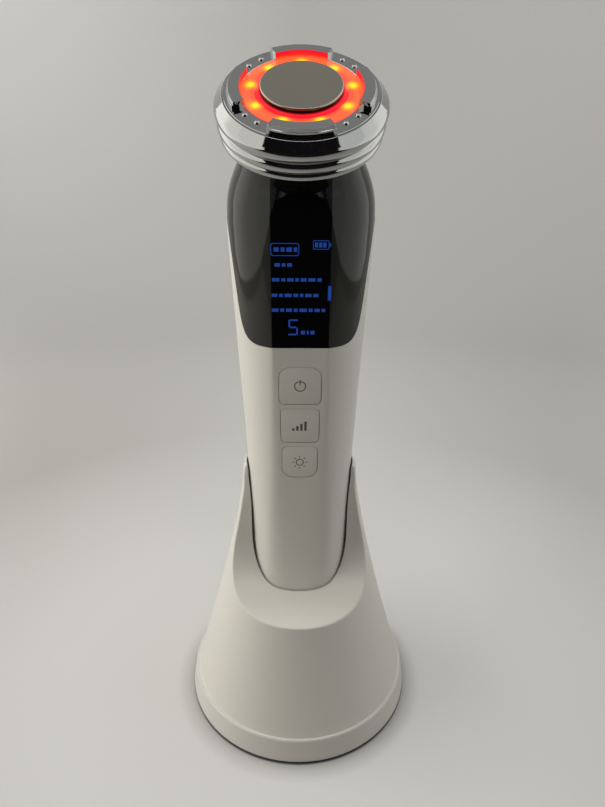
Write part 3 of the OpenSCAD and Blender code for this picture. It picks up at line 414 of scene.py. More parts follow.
def thicken(obj, wall):
    """Gives an outer skin a wall that goes inwards."""
    solid = obj.modifiers.new("wall", "SOLIDIFY")
    solid.thickness = wall * MM
    solid.offset = -1
    solid.use_even_offset = True
    settle(obj)


def carve(obj, cutters):
    """Cuts the solids away from an object and removes them."""
    for cutter in cutters:
        cut = obj.modifiers.new("cut", "BOOLEAN")
        cut.object = cutter
        cut.operation = "DIFFERENCE"
        cut.solver = "EXACT"
    settle(obj)
    for cutter in cutters:
        mesh = cutter.data
        bpy.data.objects.remove(cutter)
        bpy.data.meshes.remove(mesh)


def fit_out(obj, body, slot, *nodes):
    """Puts a piece on a body, in place of the CAD nodes named; the record slot is not used."""
    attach(obj, body)
    if nodes:
        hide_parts(*nodes)
    return obj


# ---- Materials ----

def srgb(r, g, b):
    """A colour given in the 0 to 255 steps of a screen, as the shader's linear one."""
    shares = [c / 255 for c in (r, g, b)]
    return tuple(((c + 0.055) / 1.055) ** 2.4 if c > 0.04 else c / 12.92 for c in shares) + (1.0,)


def new_group(name, inputs, outputs):
    """A node group with named inputs and outputs, and its two end nodes."""
    group = bpy.data.node_groups.new(name, "ShaderNodeTree")
    for label, kind, default in inputs:
        socket = group.interface.new_socket(label, in_out="INPUT", socket_type=kind)
        if default is not None:
            socket.default_value = default
    for label, kind in outputs:
        group.interface.new_socket(label, in_out="OUTPUT", socket_type=kind)
    return group, group.nodes.new("NodeGroupInput"), group.nodes.new("NodeGroupOutput")


def plug(tree, value, socket):
    """Sets a socket to a number or a colour, or links it to another socket."""
    if isinstance(value, (int, float, tuple)):
        socket.default_value = value
    else:
        tree.links.new(value, socket)


def math_node(tree, operation, a, b=None, c=None):
    node = tree.nodes.new("ShaderNodeMath")
    node.operation = operation
    for socket, value in zip(node.inputs, (a, b, c)):
        if value is not None:
            plug(tree, value, socket)
    return node.outputs[0]


def mix_colour(tree, factor, a, b, blend="MIX"):
    """Blends two colours, each a value or a socket, by a factor."""
    node = tree.nodes.new("ShaderNodeMix")
    node.data_type = "RGBA"
    node.blend_type = blend
    for socket, value in ((node.inputs["Factor"], factor), (node.inputs[6], a), (node.inputs[7], b)):
        plug(tree, value, socket)
    return node.outputs[2]


def surface_group():
    """Slow colour drift, uneven gloss and a fine grain, shared by every finish."""
    if "surface_variation" in bpy.data.node_groups:
        return bpy.data.node_groups["surface_variation"]
    group, take, give = new_group("surface_variation", [
        ("Vector", "NodeSocketVector", None), ("Colour", "NodeSocketColor", (0.8, 0.8, 0.8, 1)),
        ("Drift", "NodeSocketFloat", 0.05), ("Drift Scale", "NodeSocketFloat", 30.0),
        ("Roughness", "NodeSocketFloat", 0.4), ("Spread", "NodeSocketFloat", 0.05),
        ("Grain Scale", "NodeSocketFloat", 2500.0)],
        [("Colour", "NodeSocketColor"), ("Roughness", "NodeSocketFloat"), ("Height", "NodeSocketFloat")])
    slow = group.nodes.new("ShaderNodeTexNoise")
    slow.inputs["Detail"].default_value = 3
    fine = group.nodes.new("ShaderNodeTexNoise")
    fine.inputs["Detail"].default_value = 2
    link = group.links.new
    link(take.outputs["Vector"], slow.inputs["Vector"])
    link(take.outputs["Vector"], fine.inputs["Vector"])
    link(take.outputs["Drift Scale"], slow.inputs["Scale"])
    link(take.outputs["Grain Scale"], fine.inputs["Scale"])
    swing = math_node(group, "MULTIPLY_ADD", slow.outputs["Fac"], 2.0, -1.0)
    shade = math_node(group, "MULTIPLY_ADD", swing, take.outputs["Drift"], 1.0)
    grey = group.nodes.new("ShaderNodeCombineColor")
    for socket in grey.inputs:
        link(shade, socket)
    link(mix_colour(group, 1.0, take.outputs["Colour"], grey.outputs[0], "MULTIPLY"), give.inputs["Colour"])
    link(math_node(group, "MULTIPLY_ADD", swing, take.outputs["Spread"], take.outputs["Roughness"]),
         give.inputs["Roughness"])
    link(fine.outputs["Fac"], give.inputs["Height"])
    return group


def finish(name, colour, rough, metal=0.0, drift=0.05, drift_scale=30.0, spread=0.04, grain=2500.0, bump=0.02,
           ior=1.5):
    """A material whose colour, gloss and grain vary over the surface. The returned one may be built on."""
    if name in bpy.data.materials:
        return bpy.data.materials[name]
    mat = bpy.data.materials.new(name)
    mat.use_nodes = True
    tree = mat.node_tree
    shader = tree.nodes["Principled BSDF"]
    shader.name = "shader"
    coords = tree.nodes.new("ShaderNodeTexCoord")
    coords.name = "coords"
    vary = tree.nodes.new("ShaderNodeGroup")
    vary.name = "vary"
    vary.node_tree = surface_group()
    for label, value in (("Colour", colour), ("Drift", drift), ("Drift Scale", drift_scale),
                         ("Roughness", rough), ("Spread", spread), ("Grain Scale", grain)):
        vary.inputs[label].default_value = value
    tree.links.new(coords.outputs["Object"], vary.inputs["Vector"])
    tree.links.new(vary.outputs["Colour"], shader.inputs["Base Color"])
    tree.links.new(vary.outputs["Roughness"], shader.inputs["Roughness"])
    relief = tree.nodes.new("ShaderNodeBump")
    relief.inputs["Strength"].default_value = 1.0
    relief.inputs["Distance"].default_value = bump * MM
    tree.links.new(vary.outputs["Height"], relief.inputs["Height"])
    tree.links.new(relief.outputs["Normal"], shader.inputs["Normal"])
    shader.inputs["Metallic"].default_value = metal
    shader.inputs["IOR"].default_value = ior
    return mat


def head_group():
    """Radius, height and lamp pattern in the head's own axes, for the lit ring and the light and shade
    painted round it.
    """
    if "head_glow" in bpy.data.node_groups:
        return bpy.data.node_groups["head_glow"]
    group, take, give = new_group("head_glow", [
        ("Vector", "NodeSocketVector", None), ("Lamps", "NodeSocketFloat", 9.0),
        ("Ring Radius", "NodeSocketFloat", 14.4), ("Spot Width", "NodeSocketFloat", 1.35)],
        [("Spots", "NodeSocketFloat"), ("Radius", "NodeSocketFloat"), ("Height", "NodeSocketFloat")])
    back = HEAD.inverted()
    turn = group.nodes.new("ShaderNodeMapping")
    turn.inputs["Location"].default_value = back.to_translation()
    turn.inputs["Rotation"].default_value = back.to_euler()
    turn.inputs["Scale"].default_value = (1 / MM, 1 / MM, 1 / MM)
    split = group.nodes.new("ShaderNodeSeparateXYZ")
    group.links.new(take.outputs["Vector"], turn.inputs["Vector"])
    group.links.new(turn.outputs["Vector"], split.inputs[0])
    x, y, h = split.outputs
    r = math_node(group, "SQRT", math_node(group, "MULTIPLY_ADD", x, x, math_node(group, "MULTIPLY", y, y)))
    angle = math_node(group, "ARCTAN2", y, x)
    from_back = math_node(group, "SUBTRACT", angle, math.pi / 2)
    wave = math_node(group, "COSINE", math_node(group, "MULTIPLY", from_back, take.outputs["Lamps"]))
    beat = math_node(group, "POWER", math_node(group, "MULTIPLY_ADD", wave, 0.5, 0.5), 4.0)
    off = math_node(group, "DIVIDE", math_node(group, "SUBTRACT", r, take.outputs["Ring Radius"]),
                    take.outputs["Spot Width"])
    square = math_node(group, "MULTIPLY", off, off)
    fall = math_node(group, "EXPONENT", math_node(group, "MULTIPLY", square, -1.0))
    group.links.new(math_node(group, "MULTIPLY", beat, fall), give.inputs["Spots"])
    group.links.new(r, give.inputs["Radius"])
    group.links.new(h, give.inputs["Height"])
    return group


def ramp(tree, factor, stops):
    """A colour ramp with stops of (place, colour)."""
    node = tree.nodes.new("ShaderNodeValToRGB")
    while len(node.color_ramp.elements) > 1:
        node.color_ramp.elements.remove(node.color_ramp.elements[-1])
    for i, (at, colour) in enumerate(stops):
        element = node.color_ramp.elements[0] if i == 0 else node.color_ramp.elements.new(at)
        element.position = at
        element.color = colour
    tree.links.new(factor, node.inputs["Fac"])
    return node.outputs["Color"]


def scaled(tree, value, low, high):
    """A value as a share of the way from low to high, held within 0 and 1."""
    node = tree.nodes.new("ShaderNodeMapRange")
    node.inputs["From Min"].default_value = low
    node.inputs["From Max"].default_value = high
    tree.links.new(value, node.inputs["Value"])
    return node.outputs["Result"]


def glow_nodes(mat):
    """Adds the head's pattern to a material; returns its tree and the pattern's node."""
    tree = mat.node_tree
    node = tree.nodes.new("ShaderNodeGroup")
    node.node_tree = head_group()
    tree.links.new(tree.nodes["coords"].outputs["Object"], node.inputs["Vector"])
    return tree, node


def recolour(tree, factor, colour):
    """Fades the finish's colour to another one by a factor."""
    tree.links.new(mix_colour(tree, factor, tree.nodes["vary"].outputs["Colour"], colour),
                   tree.nodes["shader"].inputs["Base Color"])


def lit_by(tree, colour, strength=1.0):
    """Gives a finish an emission."""
    shader = tree.nodes["shader"]
    tree.links.new(colour, shader.inputs["Emission Color"])
    shader.inputs["Emission Strength"].default_value = strength


# ---- Sizes and colours ----

def length_property(name, description, default, low, high):
    return FloatProperty(name=name, description=description, default=default, min=low, max=high,
                         unit="LENGTH")


def colour_property(name, description, default):
    return FloatVectorProperty(name=name, description=description, subtype="COLOR", size=4, min=0, max=1,
                               default=default)


def power_property(name, description, default):
    return FloatProperty(name=name, description=description, default=default, min=0, max=20, unit="POWER")


class ToningSizes(PropertyGroup):
    """Sizes of the visible details"""
    lip: length_property("Scoop lip", "Rounding of the scoop's lip", 0.0005, 0.0003, 0.0012)
    pocket_lip: length_property("Pocket lip", "Rounding of the pocket's edge", 0.0003, 0.0002, 0.0008)
    wall: length_property("Shell wall", "Wall of the white shells", 0.0018, 0.0012, 0.0022)
    seam: length_property("Seam", "Visible gap between neighbouring covers", 0.0001, 0.00004, 0.0003)
    key_gap: length_property("Key gap", "Clearance around each key", 0.00017, 0.0001, 0.0003)
    key_edge: length_property("Key edge", "Rounding of the keys' front edge", 0.0003, 0.0001, 0.0006)
    strip: length_property("Strip height", "How far the side strips stand out", 0.00025, 0.0001, 0.0003)
    groove: length_property("Roll groove", "Softness of the grooves between the bezel's rolls",
                            0.00015, 0.00005, 0.0008)


class ToningColours(PropertyGroup):
    """Colours and light of the set"""
    shell: colour_property("Shell", "White of the handle and the cone", (0.83, 0.81, 0.765, 1))
    cover: colour_property("Cover", "Black of the display cover", (0.0035, 0.0035, 0.0042, 1))
    chrome: colour_property("Chrome", "Tint of the plated head", (0.5, 0.5, 0.5, 1))
    plate: colour_property("Cold plate", "Tint of the cold plate", (0.455, 0.425, 0.362, 1))
    glow: colour_property("Ring glow", "Colour of the lit ring", srgb(255, 98, 52))
    spots: colour_property("Lamp spots", "Colour over each lamp of the ring", srgb(255, 240, 6))
    marks: colour_property("Display marks", "Colour of the lit marks", srgb(32, 66, 146))
    print_ink: colour_property("Key print", "Colour of the icons on the keys", srgb(92, 88, 82))
    left_light: power_property("Left light", "Power of the left soft light", 4.3)
    right_light: power_property("Right light", "Power of the right soft light", 1.5)
    top_light: power_property("Top light", "Power of the soft light overhead", 2.0)


def sizes():
    return bpy.context.scene.toning_sizes


def colours():
    return bpy.context.scene.toning_colours


def mm(value):
    return value / MM


def white_finish(name, rough=0.34, drift=0.012):
    return finish(name, tuple(colours().shell), rough, drift=drift, spread=0.03, grain=3200, bump=0.004)


def chrome_finish(name, rough):
    return finish(name, tuple(colours().chrome), rough, metal=1.0, drift=0.02, drift_scale=60, spread=0.015,
                  grain=1500, bump=0.0015)


# ---- Operators ----

class TONING_OT_handle_shells(Operator):
    """Builds the front and rear white shells and the black display cover"""
    bl_idname = "toning.handle_shells"
    bl_label = "Handle Shells"

    def execute(self, context):
        seam = mm(sizes().seam)
        ends, rows = 8, 72
        end_hole_r, lip_wall = 13.1, 0.3  # of the opening in the lower end

        def shell(columns):
            cols = np.array(columns)
            stop = edge_station(cols) - seam / (SHOULDER_Z - SEAT_Z)

            def place(i, j):
                up = np.clip((j - ends) / rows, 0, 1)
                w = stop[i] * (1 - (1 - up) ** 1.15)
                a = np.clip(j - 1, 0, ends - 1) / (ends - 1) * math.pi / 2
                inset = np.where(j < ends, END_ROUND * (1 - np.sin(a)), 0.0)
                drop = np.where(j < ends, END_ROUND * np.cos(a), 0.0)
                x, y, z = handle_point(w, column_angle(cols[i], w), -inset)
                ring = np.hypot(x, y)
                inner = np.where(j == 0, np.minimum(end_hole_r, ring - lip_wall) / ring, 1.0)
                return x * inner, y * inner, z - drop

            bm = grid(len(columns) - 1, rows + ends, place)
            point_out(bm)
            return bm

        white = white_finish("satin_white_shell")
        front = shell(list(range(-SEAM, SEAM + 1)))
        for v in front.verts:
            if v.is_boundary and v.co.y > SEAM_Y - 0.4:
                v.co.y -= seam / 2
        front = finished("shell_front", front, white)
        thicken(front, mm(sizes().wall))
        gap = mm(sizes().key_gap)
        cutters = []
        for _, at, w, h, top, low in KEYS:
            opening = [(x, z + at) for x, z in key_outline(w, h, top, low, gap)]
            cutters.append(finished("cutter", prism(opening, -30, -10), white))
        carve(front, cutters)
        fit_out(front, "handset", "shell_white", "front_shell")

        rear = shell(list(range(SEAM, LAST + 1)) + list(range(-LAST + 1, -SEAM + 1)))
        for v in rear.verts:
            if v.is_boundary and v.co.y < SEAM_Y + 0.4 and v.co.z < 220:
                v.co.y += seam / 2
        rear = finished("shell_rear", rear, white)
        thicken(rear, mm(sizes().wall))
        fit_out(rear, "handset", "shell_white", "rear_shell")

        cols = np.arange(-LAST, LAST + 1)
        start = edge_station(cols)
        neck_rows = 56

        def place(i, j):
            w = start[i] + (2 - start[i]) * j / neck_rows
            return handle_point(w, column_angle(cols[i], w))

        bm = grid(len(cols) - 1, neck_rows, place)
        bmesh.ops.remove_doubles(bm, verts=bm.verts, dist=1e-3)
        point_out(bm)
        black = finish("gloss_black_cover", tuple(colours().cover), 0.05, drift=0.2, spread=0.012, grain=900,
                       bump=0.0006, ior=1.42)
        tree = black.node_tree
        split = tree.nodes.new("ShaderNodeSeparateXYZ")
        tree.links.new(tree.nodes["coords"].outputs["Object"], split.inputs[0])
        # the housing round the window, beside the facet and behind the front, is duller; its paler grey is
        # painted reflection of the side lights
        aside = scaled(tree, math_node(tree, "ABSOLUTE", split.outputs[0]), 0.0087, 0.0089)
        behind = scaled(tree, split.outputs[1], -0.0185, -0.0183)
        housing_and_painted_reflection = math_node(tree, "MAXIMUM", aside, behind)
        tree.links.new(math_node(tree, "MULTIPLY_ADD", housing_and_painted_reflection, 0.26, 0.12),
                       tree.nodes["shader"].inputs["Specular IOR Level"])
        recolour(tree, housing_and_painted_reflection, (0.034, 0.034, 0.031, 1))
        cover = finished("cover_display", bm, black)
        thicken(cover, 1.5)
        fit_out(cover, "handset", "cover_black", "display_cover")
        return {"FINISHED"}


class TONING_OT_side_strips(Operator):
    """Builds the bright strips that cover the seam on each side"""
    bl_idname = "toning.side_strips"
    bl_label = "Side Strips"

    def execute(self, context):
        proud = mm(sizes().strip)
        strip = bmesh.new()
        low, length, back, width = 31, 99, -0.5, 3
        columns, rows = 6, 48
        for side in (-1, 1):
            def place(i, j):
                z = low + length * j / rows
                y = back + width * i / columns
                r = np.interp(z, *SIDE) + proud
                r = r - np.where((i == 0) | (i == columns), 0.12, 0)
                return side * np.sqrt(r * r - y * y), y, z

            bm = grid(columns, rows, place)
            point_out(bm)
            joined(strip, bm)
        bright = finish("bright_strip", (0.72, 0.72, 0.72, 1), 0.16, metal=1.0, drift=0.04, drift_scale=80,
                       spread=0.03, grain=1800, bump=0.002)
        obj = finished("strips_side", strip, bright, sharp=50)
        thicken(obj, 1.0)
        fit_out(obj, "handset", "strip_silver", "side_strips")
        return {"FINISHED"}


def icon_flat(parts, z0):
    """Thin raised print: outlines in (x, z) laid on the front facet about the height z0."""
    out = bmesh.new()
    for points, hole in parts:
        bm = bmesh.new()
        outer = [bm.verts.new((x, 0, z)) for x, z in points]
        if hole is None:
            bm.faces.new(outer)
        else:
            inner = [bm.verts.new((x, 0, z)) for x, z in hole]
            closed = len(points) == len(hole) and (Vector(points[0]) - Vector(points[-1])).length > 1e-6
            last = len(points) if closed else len(points) - 1
            for i in range(last):
                k = (i + 1) % len(points)
                bm.faces.new([outer[i], outer[k], inner[k], inner[i]])
        joined(out, bm)
    for v in out.verts:
        v.co.z += z0
        v.co.y = float(facet_y(v.co.z)) - 0.012
    bmesh.ops.recalc_face_normals(out, faces=out.faces)
    if sum(f.normal.y for f in out.faces) > 0:
        bmesh.ops.reverse_faces(out, faces=out.faces)
    return out


def arc(r, a0, a1, cx=0.0, cz=0.0, steps=24):
    return [(cx + r * math.cos(math.radians(a0 + (a1 - a0) * n / steps)),
             cz + r * math.sin(math.radians(a0 + (a1 - a0) * n / steps))) for n in range(steps + 1)]


def bar(x0, z0, x1, z1):
    return [(x0, z0), (x1, z0), (x1, z1), (x0, z1)]


def band(r, t, a0, a1, cx=0.0, cz=0.0):
    """An arc of width t as an outer and an inner line."""
    return arc(r + t / 2, a0, a1, cx, cz), arc(r - t / 2, a0, a1, cx, cz)


class TONING_OT_keys(Operator):
    """Builds the three press keys and their printed icons"""
    bl_idname = "toning.keys"
    bl_label = "Keys"

    def execute(self, context):
        white = white_finish("satin_white_key", 0.38, 0.01)
        ink = finish("key_print", tuple(colours().print_ink), 0.6, drift=0.05, bump=0.004)
        edge = mm(sizes().key_edge)
        for name, at, w, h, top, low in KEYS:
            bm = prism(key_outline(w, h, top, low), 0, 1.9)
            front = [f for f in bm.faces if f.normal.y < -0.9]
            rim = [e for f in front for e in f.edges]
            softened(bm, rim, edge, 4)
            flange = prism(key_outline(w, h, top, low, 0.7), 1.9, 2.7)
            joined(bm, flange)
            stem = bmesh.new()
            stem_r, stem_end_y, stem_start = 1.5, -12.5, 2.6
            length = -0.5 + float(stem_end_y - facet_y(at))
            bmesh.ops.create_cone(stem, cap_ends=True, segments=32, radius1=stem_r, radius2=stem_r,
                                  depth=length)
            turned(stem, math.pi / 2, "X")
            bmesh.ops.translate(stem, verts=stem.verts, vec=(0, stem_start + length / 2, 0))
            joined(bm, stem)
            for v in bm.verts:
                v.co.z += at
                v.co.y += float(facet_y(v.co.z))
            key = finished("key_" + name.split("_")[0], bm, white, sharp=50)
            fit_out(key, name, "button_white", name)

        power = [band(1.75, 0.34, 122, 418), (bar(-0.17, 0.4, 0.17, 2.2), None)]
        steps = [(bar(-2.6 + 1.35 * n, -1.7, -1.8 + 1.35 * n, -1.7 + 0.85 * (n + 1)), None) for n in range(4)]
        sun = [band(1.2, 0.32, 0, 360)]
        for n in range(8):
            turn = Matrix.Rotation(math.radians(45 * n), 2)
            sun.append(([tuple(turn @ Vector(p)) for p in bar(1.85, -0.15, 2.55, 0.15)], None))
        icons = {"mode": power, "level": steps, "light": sun}
        for name, at, *_ in KEYS:
            kind = name.split("_")[0]
            bm = icon_flat(icons[kind], at)
            obj = finished("print_" + kind, bm, ink)
            fit_out(obj, name, "button_white")
        return {"FINISHED"}


class TONING_OT_display_marks(Operator):
    """Builds the lit marks behind the black cover: plain bars, a battery and a numeral"""
    bl_idname = "toning.display_marks"
    bl_label = "Display Marks"

    def execute(self, context):
        z0 = 172.0
        parts = []

        def frame_of(x0, low, x1, high, t, r):
            outer = key_outline(x1 - x0, high - low, r, r, 0, 4)
            inner = key_outline(x1 - x0 - 2 * t, high - low - 2 * t, r - t * 0.6, r - t * 0.6, 0, 4)
            cx, cz = (x0 + x1) / 2, (low + high) / 2 - z0
            parts.append(([(x + cx, z + cz) for x, z in outer], [(x + cx, z + cz) for x, z in inner]))

        def line(x0, z, pieces, height=1.0):
            """A row of short bars, as plain stand-ins for a line of a menu."""
            x = x0
            for length in pieces:
                parts.append((bar(x, z - z0 - height / 2, x + length, z - z0 + height / 2), None))
                x += length + 0.55

        frame_of(-8.8, 183.1, -0.5, 186.8, 0.22, 0.7)
        line(-7.9, 184.95, [1.5, 1.1, 1.6, 1.0], 1.25)
        frame_of(3.5, 185.0, 8.2, 187.6, 0.2, 0.3)
        parts.append((bar(8.25, 185.8 - z0, 8.7, 186.8 - z0), None))
        for n in range(3):
            parts.append((bar(4.05 + 1.2 * n, 185.6 - z0, 4.95 + 1.2 * n, 187.0 - z0), None))
        line(-7.7, 180.5, [1.6, 1.0, 1.4])
        line(-8.5, 176.1, [2.2, 1.2, 1.9, 1.0, 1.7, 2.1, 1.3])
        line(-8.7, 171.4, [1.7, 1.1, 2.1, 1.4, 1.0, 1.9, 1.5])
        line(-8.7, 166.8, [2.0, 1.2, 1.8, 1.1, 2.3, 1.2, 1.6, 1.1])
        parts.append((bar(8.15, 169.9 - z0, 9.15, 174.3 - z0), None))
        # numeral of seven segments
        x0, x1, low, mid, top, t = -3.7, -0.8, 158.8 - z0, 161.35 - z0, 163.9 - z0, 0.5
        for piece in (bar(x0 + t, top - t, x1, top), bar(x0, mid + 0.1, x0 + t, top - 0.2),
                      bar(x0 + t, mid - t / 2, x1 - t, mid + t / 2), bar(x1 - t, low + 0.2, x1, mid - 0.1),
                      bar(x0, low, x1 - t, low + t)):
            parts.append((piece, None))
        line(0.1, 159.7, [1.3, 0.6, 1.2], 1.2)
        bm = icon_flat(parts, z0)
        mat = finish("lit_marks", (0.004, 0.006, 0.012, 1), 0.2, drift=0.1, bump=0.0005)
        tree = mat.node_tree
        noise = tree.nodes["vary"].outputs["Height"]
        colour = tuple(colours().marks)
        dim = tuple(c * 0.8 for c in colour[:3]) + (1.0,)
        lit_by(tree, mix_colour(tree, noise, dim, colour), 0.9)
        obj = finished("marks_display", bm, mat)
        fit_out(obj, "handset", "display_glass")
        return {"FINISHED"}


def bezel_profile(soft):
    """Outline of the three-roll bezel, as (radius, height) from its front lip to its lower end."""
    rolls = [(22.4, -3.9, 2.3), (22.4, -7.8, 1.9), (22.2, -10.7, 1.6)]
    h = np.linspace(-0.37, -12.25, 300)
    r = np.interp(h, [-12.3, -10.7, -3.9, -3.88, -2.29, -0.35], [22.0, 23.1, 23.1, 23.12, 24.05, 22.15])
    for centre, at, size in rolls:
        reach = np.where(np.abs(h - at) < size, centre + np.sqrt(np.maximum(size ** 2 - (h - at) ** 2, 0)), 0)
        r = soft_max(r, reach, soft)
    outer = [(float(a), float(b)) for a, b in zip(r, h)]
    return [(21.75, -1.6), (21.75, -0.42), (21.82, -0.35), (22.1, -0.35)] + outer + [
        (21.9, -12.3), (20.6, -12.3), (20.6, -1.6)]


class TONING_OT_head(Operator):
    """Builds the plated head: bezel, face ring, electrode segments and probe dots"""
    bl_idname = "toning.head"
    bl_label = "Head"

    def execute(self, context):
        chrome = chrome_finish("polished_chrome", 0.055)
        bezel = spun(bezel_profile(mm(sizes().groove)), 256)
        bezel = finished("bezel_rolls", bezel, chrome, sharp=40, place=HEAD)
        fit_out(bezel, "handset", "chrome_bezel", "head_bezel")
        face = spun([(17.0, -1.6), (21.7, -1.6), (21.7, -0.12), (21.58, 0.0), (17.1, 0.0), (17.0, -0.1)], 256)
        face = finished("ring_face", face, chrome, sharp=30, place=HEAD)
        fit_out(face, "handset", "chrome_face", "face_ring")

        lit = chrome_finish("chrome_with_painted_ring_glow", 0.06)
        tree, node = glow_nodes(lit)
        # painted light: the segments' inner walls glow red and are painted dark red, where the lit ring
        # shines on them
        near = math_node(tree, "SUBTRACT", 1.0, scaled(tree, node.outputs["Radius"], 17.06, 17.25))
        tall = scaled(tree, node.outputs["Height"], 0.0, 1.75)
        red = ramp(tree, tall, [(0.0, srgb(255, 92, 46)), (0.35, srgb(255, 36, 40)),
                                (1.0, srgb(240, 12, 38))])
        lit_by(tree, mix_colour(tree, near, (0.0, 0.0, 0.0, 1.0), red))
        recolour(tree, near, (0.2, 0.012, 0.012, 1))
        profile = filleted([(17.0, -0.05), (20.7, -0.05), (20.7, 0.87, 0.1), (20.3, 0.92, 0.06),
                            (20.25, 1.75, 0.16), (17.0, 1.75, 0.12)], 4)
        whole = bmesh.new()
        spread = 52
        for n in range(4):
            piece = spun(profile, 40, math.radians(spread), math.radians(90 * n - spread / 2))
            caps = [f for f in piece.faces if len(f.verts) == len(profile)]
            rim = list({e for f in caps for e in f.edges if (e.verts[0].co + e.verts[1].co).z / 2 > 0.3})
            softened(piece, rim, 0.09, 2)
            joined(whole, piece)
            pin = bmesh.new()
            pin_r, pin_length, pin_at = 0.8, 2.8, 19.2
            bmesh.ops.create_cone(pin, cap_ends=True, segments=24, radius1=pin_r, radius2=pin_r,
                                  depth=pin_length)
            bmesh.ops.translate(pin, verts=pin.verts, vec=(pin_at, 0, -pin_length / 2))
            turned(pin, math.radians(90 * n), "Z")
            joined(whole, pin)
        segments = finished("segments_raised", whole, lit, sharp=32, place=HEAD)
        fit_out(segments, "handset", "chrome_face", "segments")

        dots = bmesh.new()
        dot_r, dot_at, dot_turn, sunk = 0.85, 18.95, 7.2, 0.15
        for n in range(4):
            for side in (-1, 1):
                a = math.radians(45 + 90 * n + dot_turn * side)
                dot = bmesh.new()
                bmesh.ops.create_uvsphere(dot, u_segments=28, v_segments=20, radius=dot_r)
                cut = bmesh.ops.bisect_plane(dot, geom=dot.verts[:] + dot.edges[:] + dot.faces[:], dist=1e-5,
                                             plane_co=(0, 0, sunk), plane_no=(0, 0, 1), clear_inner=True)
                rim = [g for g in cut["geom_cut"] if isinstance(g, bmesh.types.BMEdge)]
                skirt = bmesh.ops.extrude_edge_only(dot, edges=rim)
                bmesh.ops.translate(dot, vec=(0, 0, -sunk), verts=moved_verts(skirt))
                bmesh.ops.holes_fill(dot, edges=dot.edges)
                bmesh.ops.recalc_face_normals(dot, faces=dot.faces)
                bmesh.ops.translate(dot, verts=dot.verts,
                                    vec=(dot_at * math.cos(a), dot_at * math.sin(a), -sunk))
                joined(dots, dot)
        dots = finished("dots_probe", dots, chrome, sharp=60, place=HEAD)
        fit_out(dots, "handset", "chrome_face", "probe_dots")
        return {"FINISHED"}


class TONING_OT_lit_centre(Operator):
    """Builds the lit ring, the cold plate and the seal between them"""
    bl_idname = "toning.lit_centre"
    bl_label = "Lit Ring and Plate"

    def execute(self, context):
        lens = finish("lit_lens", (0.22, 0.045, 0.02, 1), 0.22, drift=0.04, bump=0.002)
        tree, node = glow_nodes(lens)
        radius = scaled(tree, node.outputs["Radius"], 12.0, 17.0)
        glow, spots = tuple(colours().glow), tuple(colours().spots)
        base = ramp(tree, radius, [(0.0, srgb(238, 12, 40)), (0.10, srgb(255, 24, 46)),
                                   (0.18, srgb(255, 36, 40)), (0.24, srgb(255, 84, 66)),
                                   (0.30, srgb(255, 74, 44)), (0.5, glow), (0.9, glow),
                                   (1.0, srgb(255, 70, 40))])
        hot = ramp(tree, node.outputs["Spots"], [(0.0, (0, 0, 0, 1)), (0.3, (0.12, 0.12, 0.12, 1)),
                                                 (0.6, (0.6, 0.6, 0.6, 1)), (0.9, (1, 1, 1, 1))])
        warm = mix_colour(tree, scaled(tree, node.outputs["Spots"], 0.0, 0.4), base, srgb(255, 140, 36))
        lit_by(tree, mix_colour(tree, hot, warm, spots))
        profile = [(12.0, -2.6), (18.35, -2.6), (18.35, -1.6), (16.95, -1.6), (16.95, -0.08), (16.87, 0.0),
                   (13.3, 0.0), (13.0, -0.06), (12.6, -0.46), (12.45, -0.5), (12.0, -0.5)]
        ring = finished("ring_lit", spun(profile, 256), lens, sharp=50, place=HEAD)
        fit_out(ring, "handset", "light_lens", "light_ring")

        steel = finish("cold_plate_metal", tuple(colours().plate), 0.27, metal=1.0, drift_scale=45,
                       spread=0.03, grain=5200, bump=0.006)
        tree, node = glow_nodes(steel)
        # painted shade: the plate's side, below its top face, is painted near black
        below = scaled(tree, node.outputs["Height"], 1.62, 1.3)
        recolour(tree, below, (0.02, 0.015, 0.014, 1))
        profile = filleted([(0, -1.4), (11.0, -1.4), (11.0, 0.75), (11.6, 0.75, 0.1), (11.6, 1.9, 0.95),
                            (0, 1.9)], 8)
        plate = finished("plate_cold", spun(profile, 192), steel, sharp=40, place=HEAD)
        fit_out(plate, "handset", "plate_steel", "cold_plate")

        rubber = finish("seal_painted_ring_glow", (0.12, 0.02, 0.02, 1), 0.5, drift=0.1, bump=0.01)
        tree, node = glow_nodes(rubber)
        # painted light: the seal glows red, brightest at its outer edge next to the lit ring
        painted_glow_edge = ramp(tree, scaled(tree, node.outputs["Radius"], 11.0, 12.0),
                        [(0.0, srgb(60, 4, 10)), (0.4, srgb(120, 8, 22)), (0.85, srgb(228, 14, 42)),
                         (1.0, srgb(255, 28, 50))])
        lit_by(tree, painted_glow_edge)
        profile = [(11.05, -1.4), (11.95, -1.4), (11.95, 0.22), (11.87, 0.3), (11.13, 0.3), (11.05, 0.22)]
        seal = finished("seal_plate", spun(profile, 192), rubber, place=HEAD)
        fit_out(seal, "handset", "rubber_grey", "plate_seal")
        return {"FINISHED"}


# ---- Stand ----

def cone_line():
    """The cone's side with its rounded rim, as radii over heights."""
    z = np.linspace(BAND_H, RIM_H - RIM_ROUND, 160)
    r = CONE_TOP_R + (CONE_FOOT_R - CONE_TOP_R) * (1 - (z - BAND_H) / (RIM_H - BAND_H)) ** FLARE
    rim = np.interp(RIM_H, *SIDE) + POCKET_GAP + 0.4
    a = np.linspace(0, math.pi / 2, 30)[1:]
    return (np.concatenate([z, RIM_H - RIM_ROUND + RIM_ROUND * np.sin(a)]),
            np.concatenate([r, rim + (r[-1] - rim) * np.cos(a)]))


CONE = cone_line()


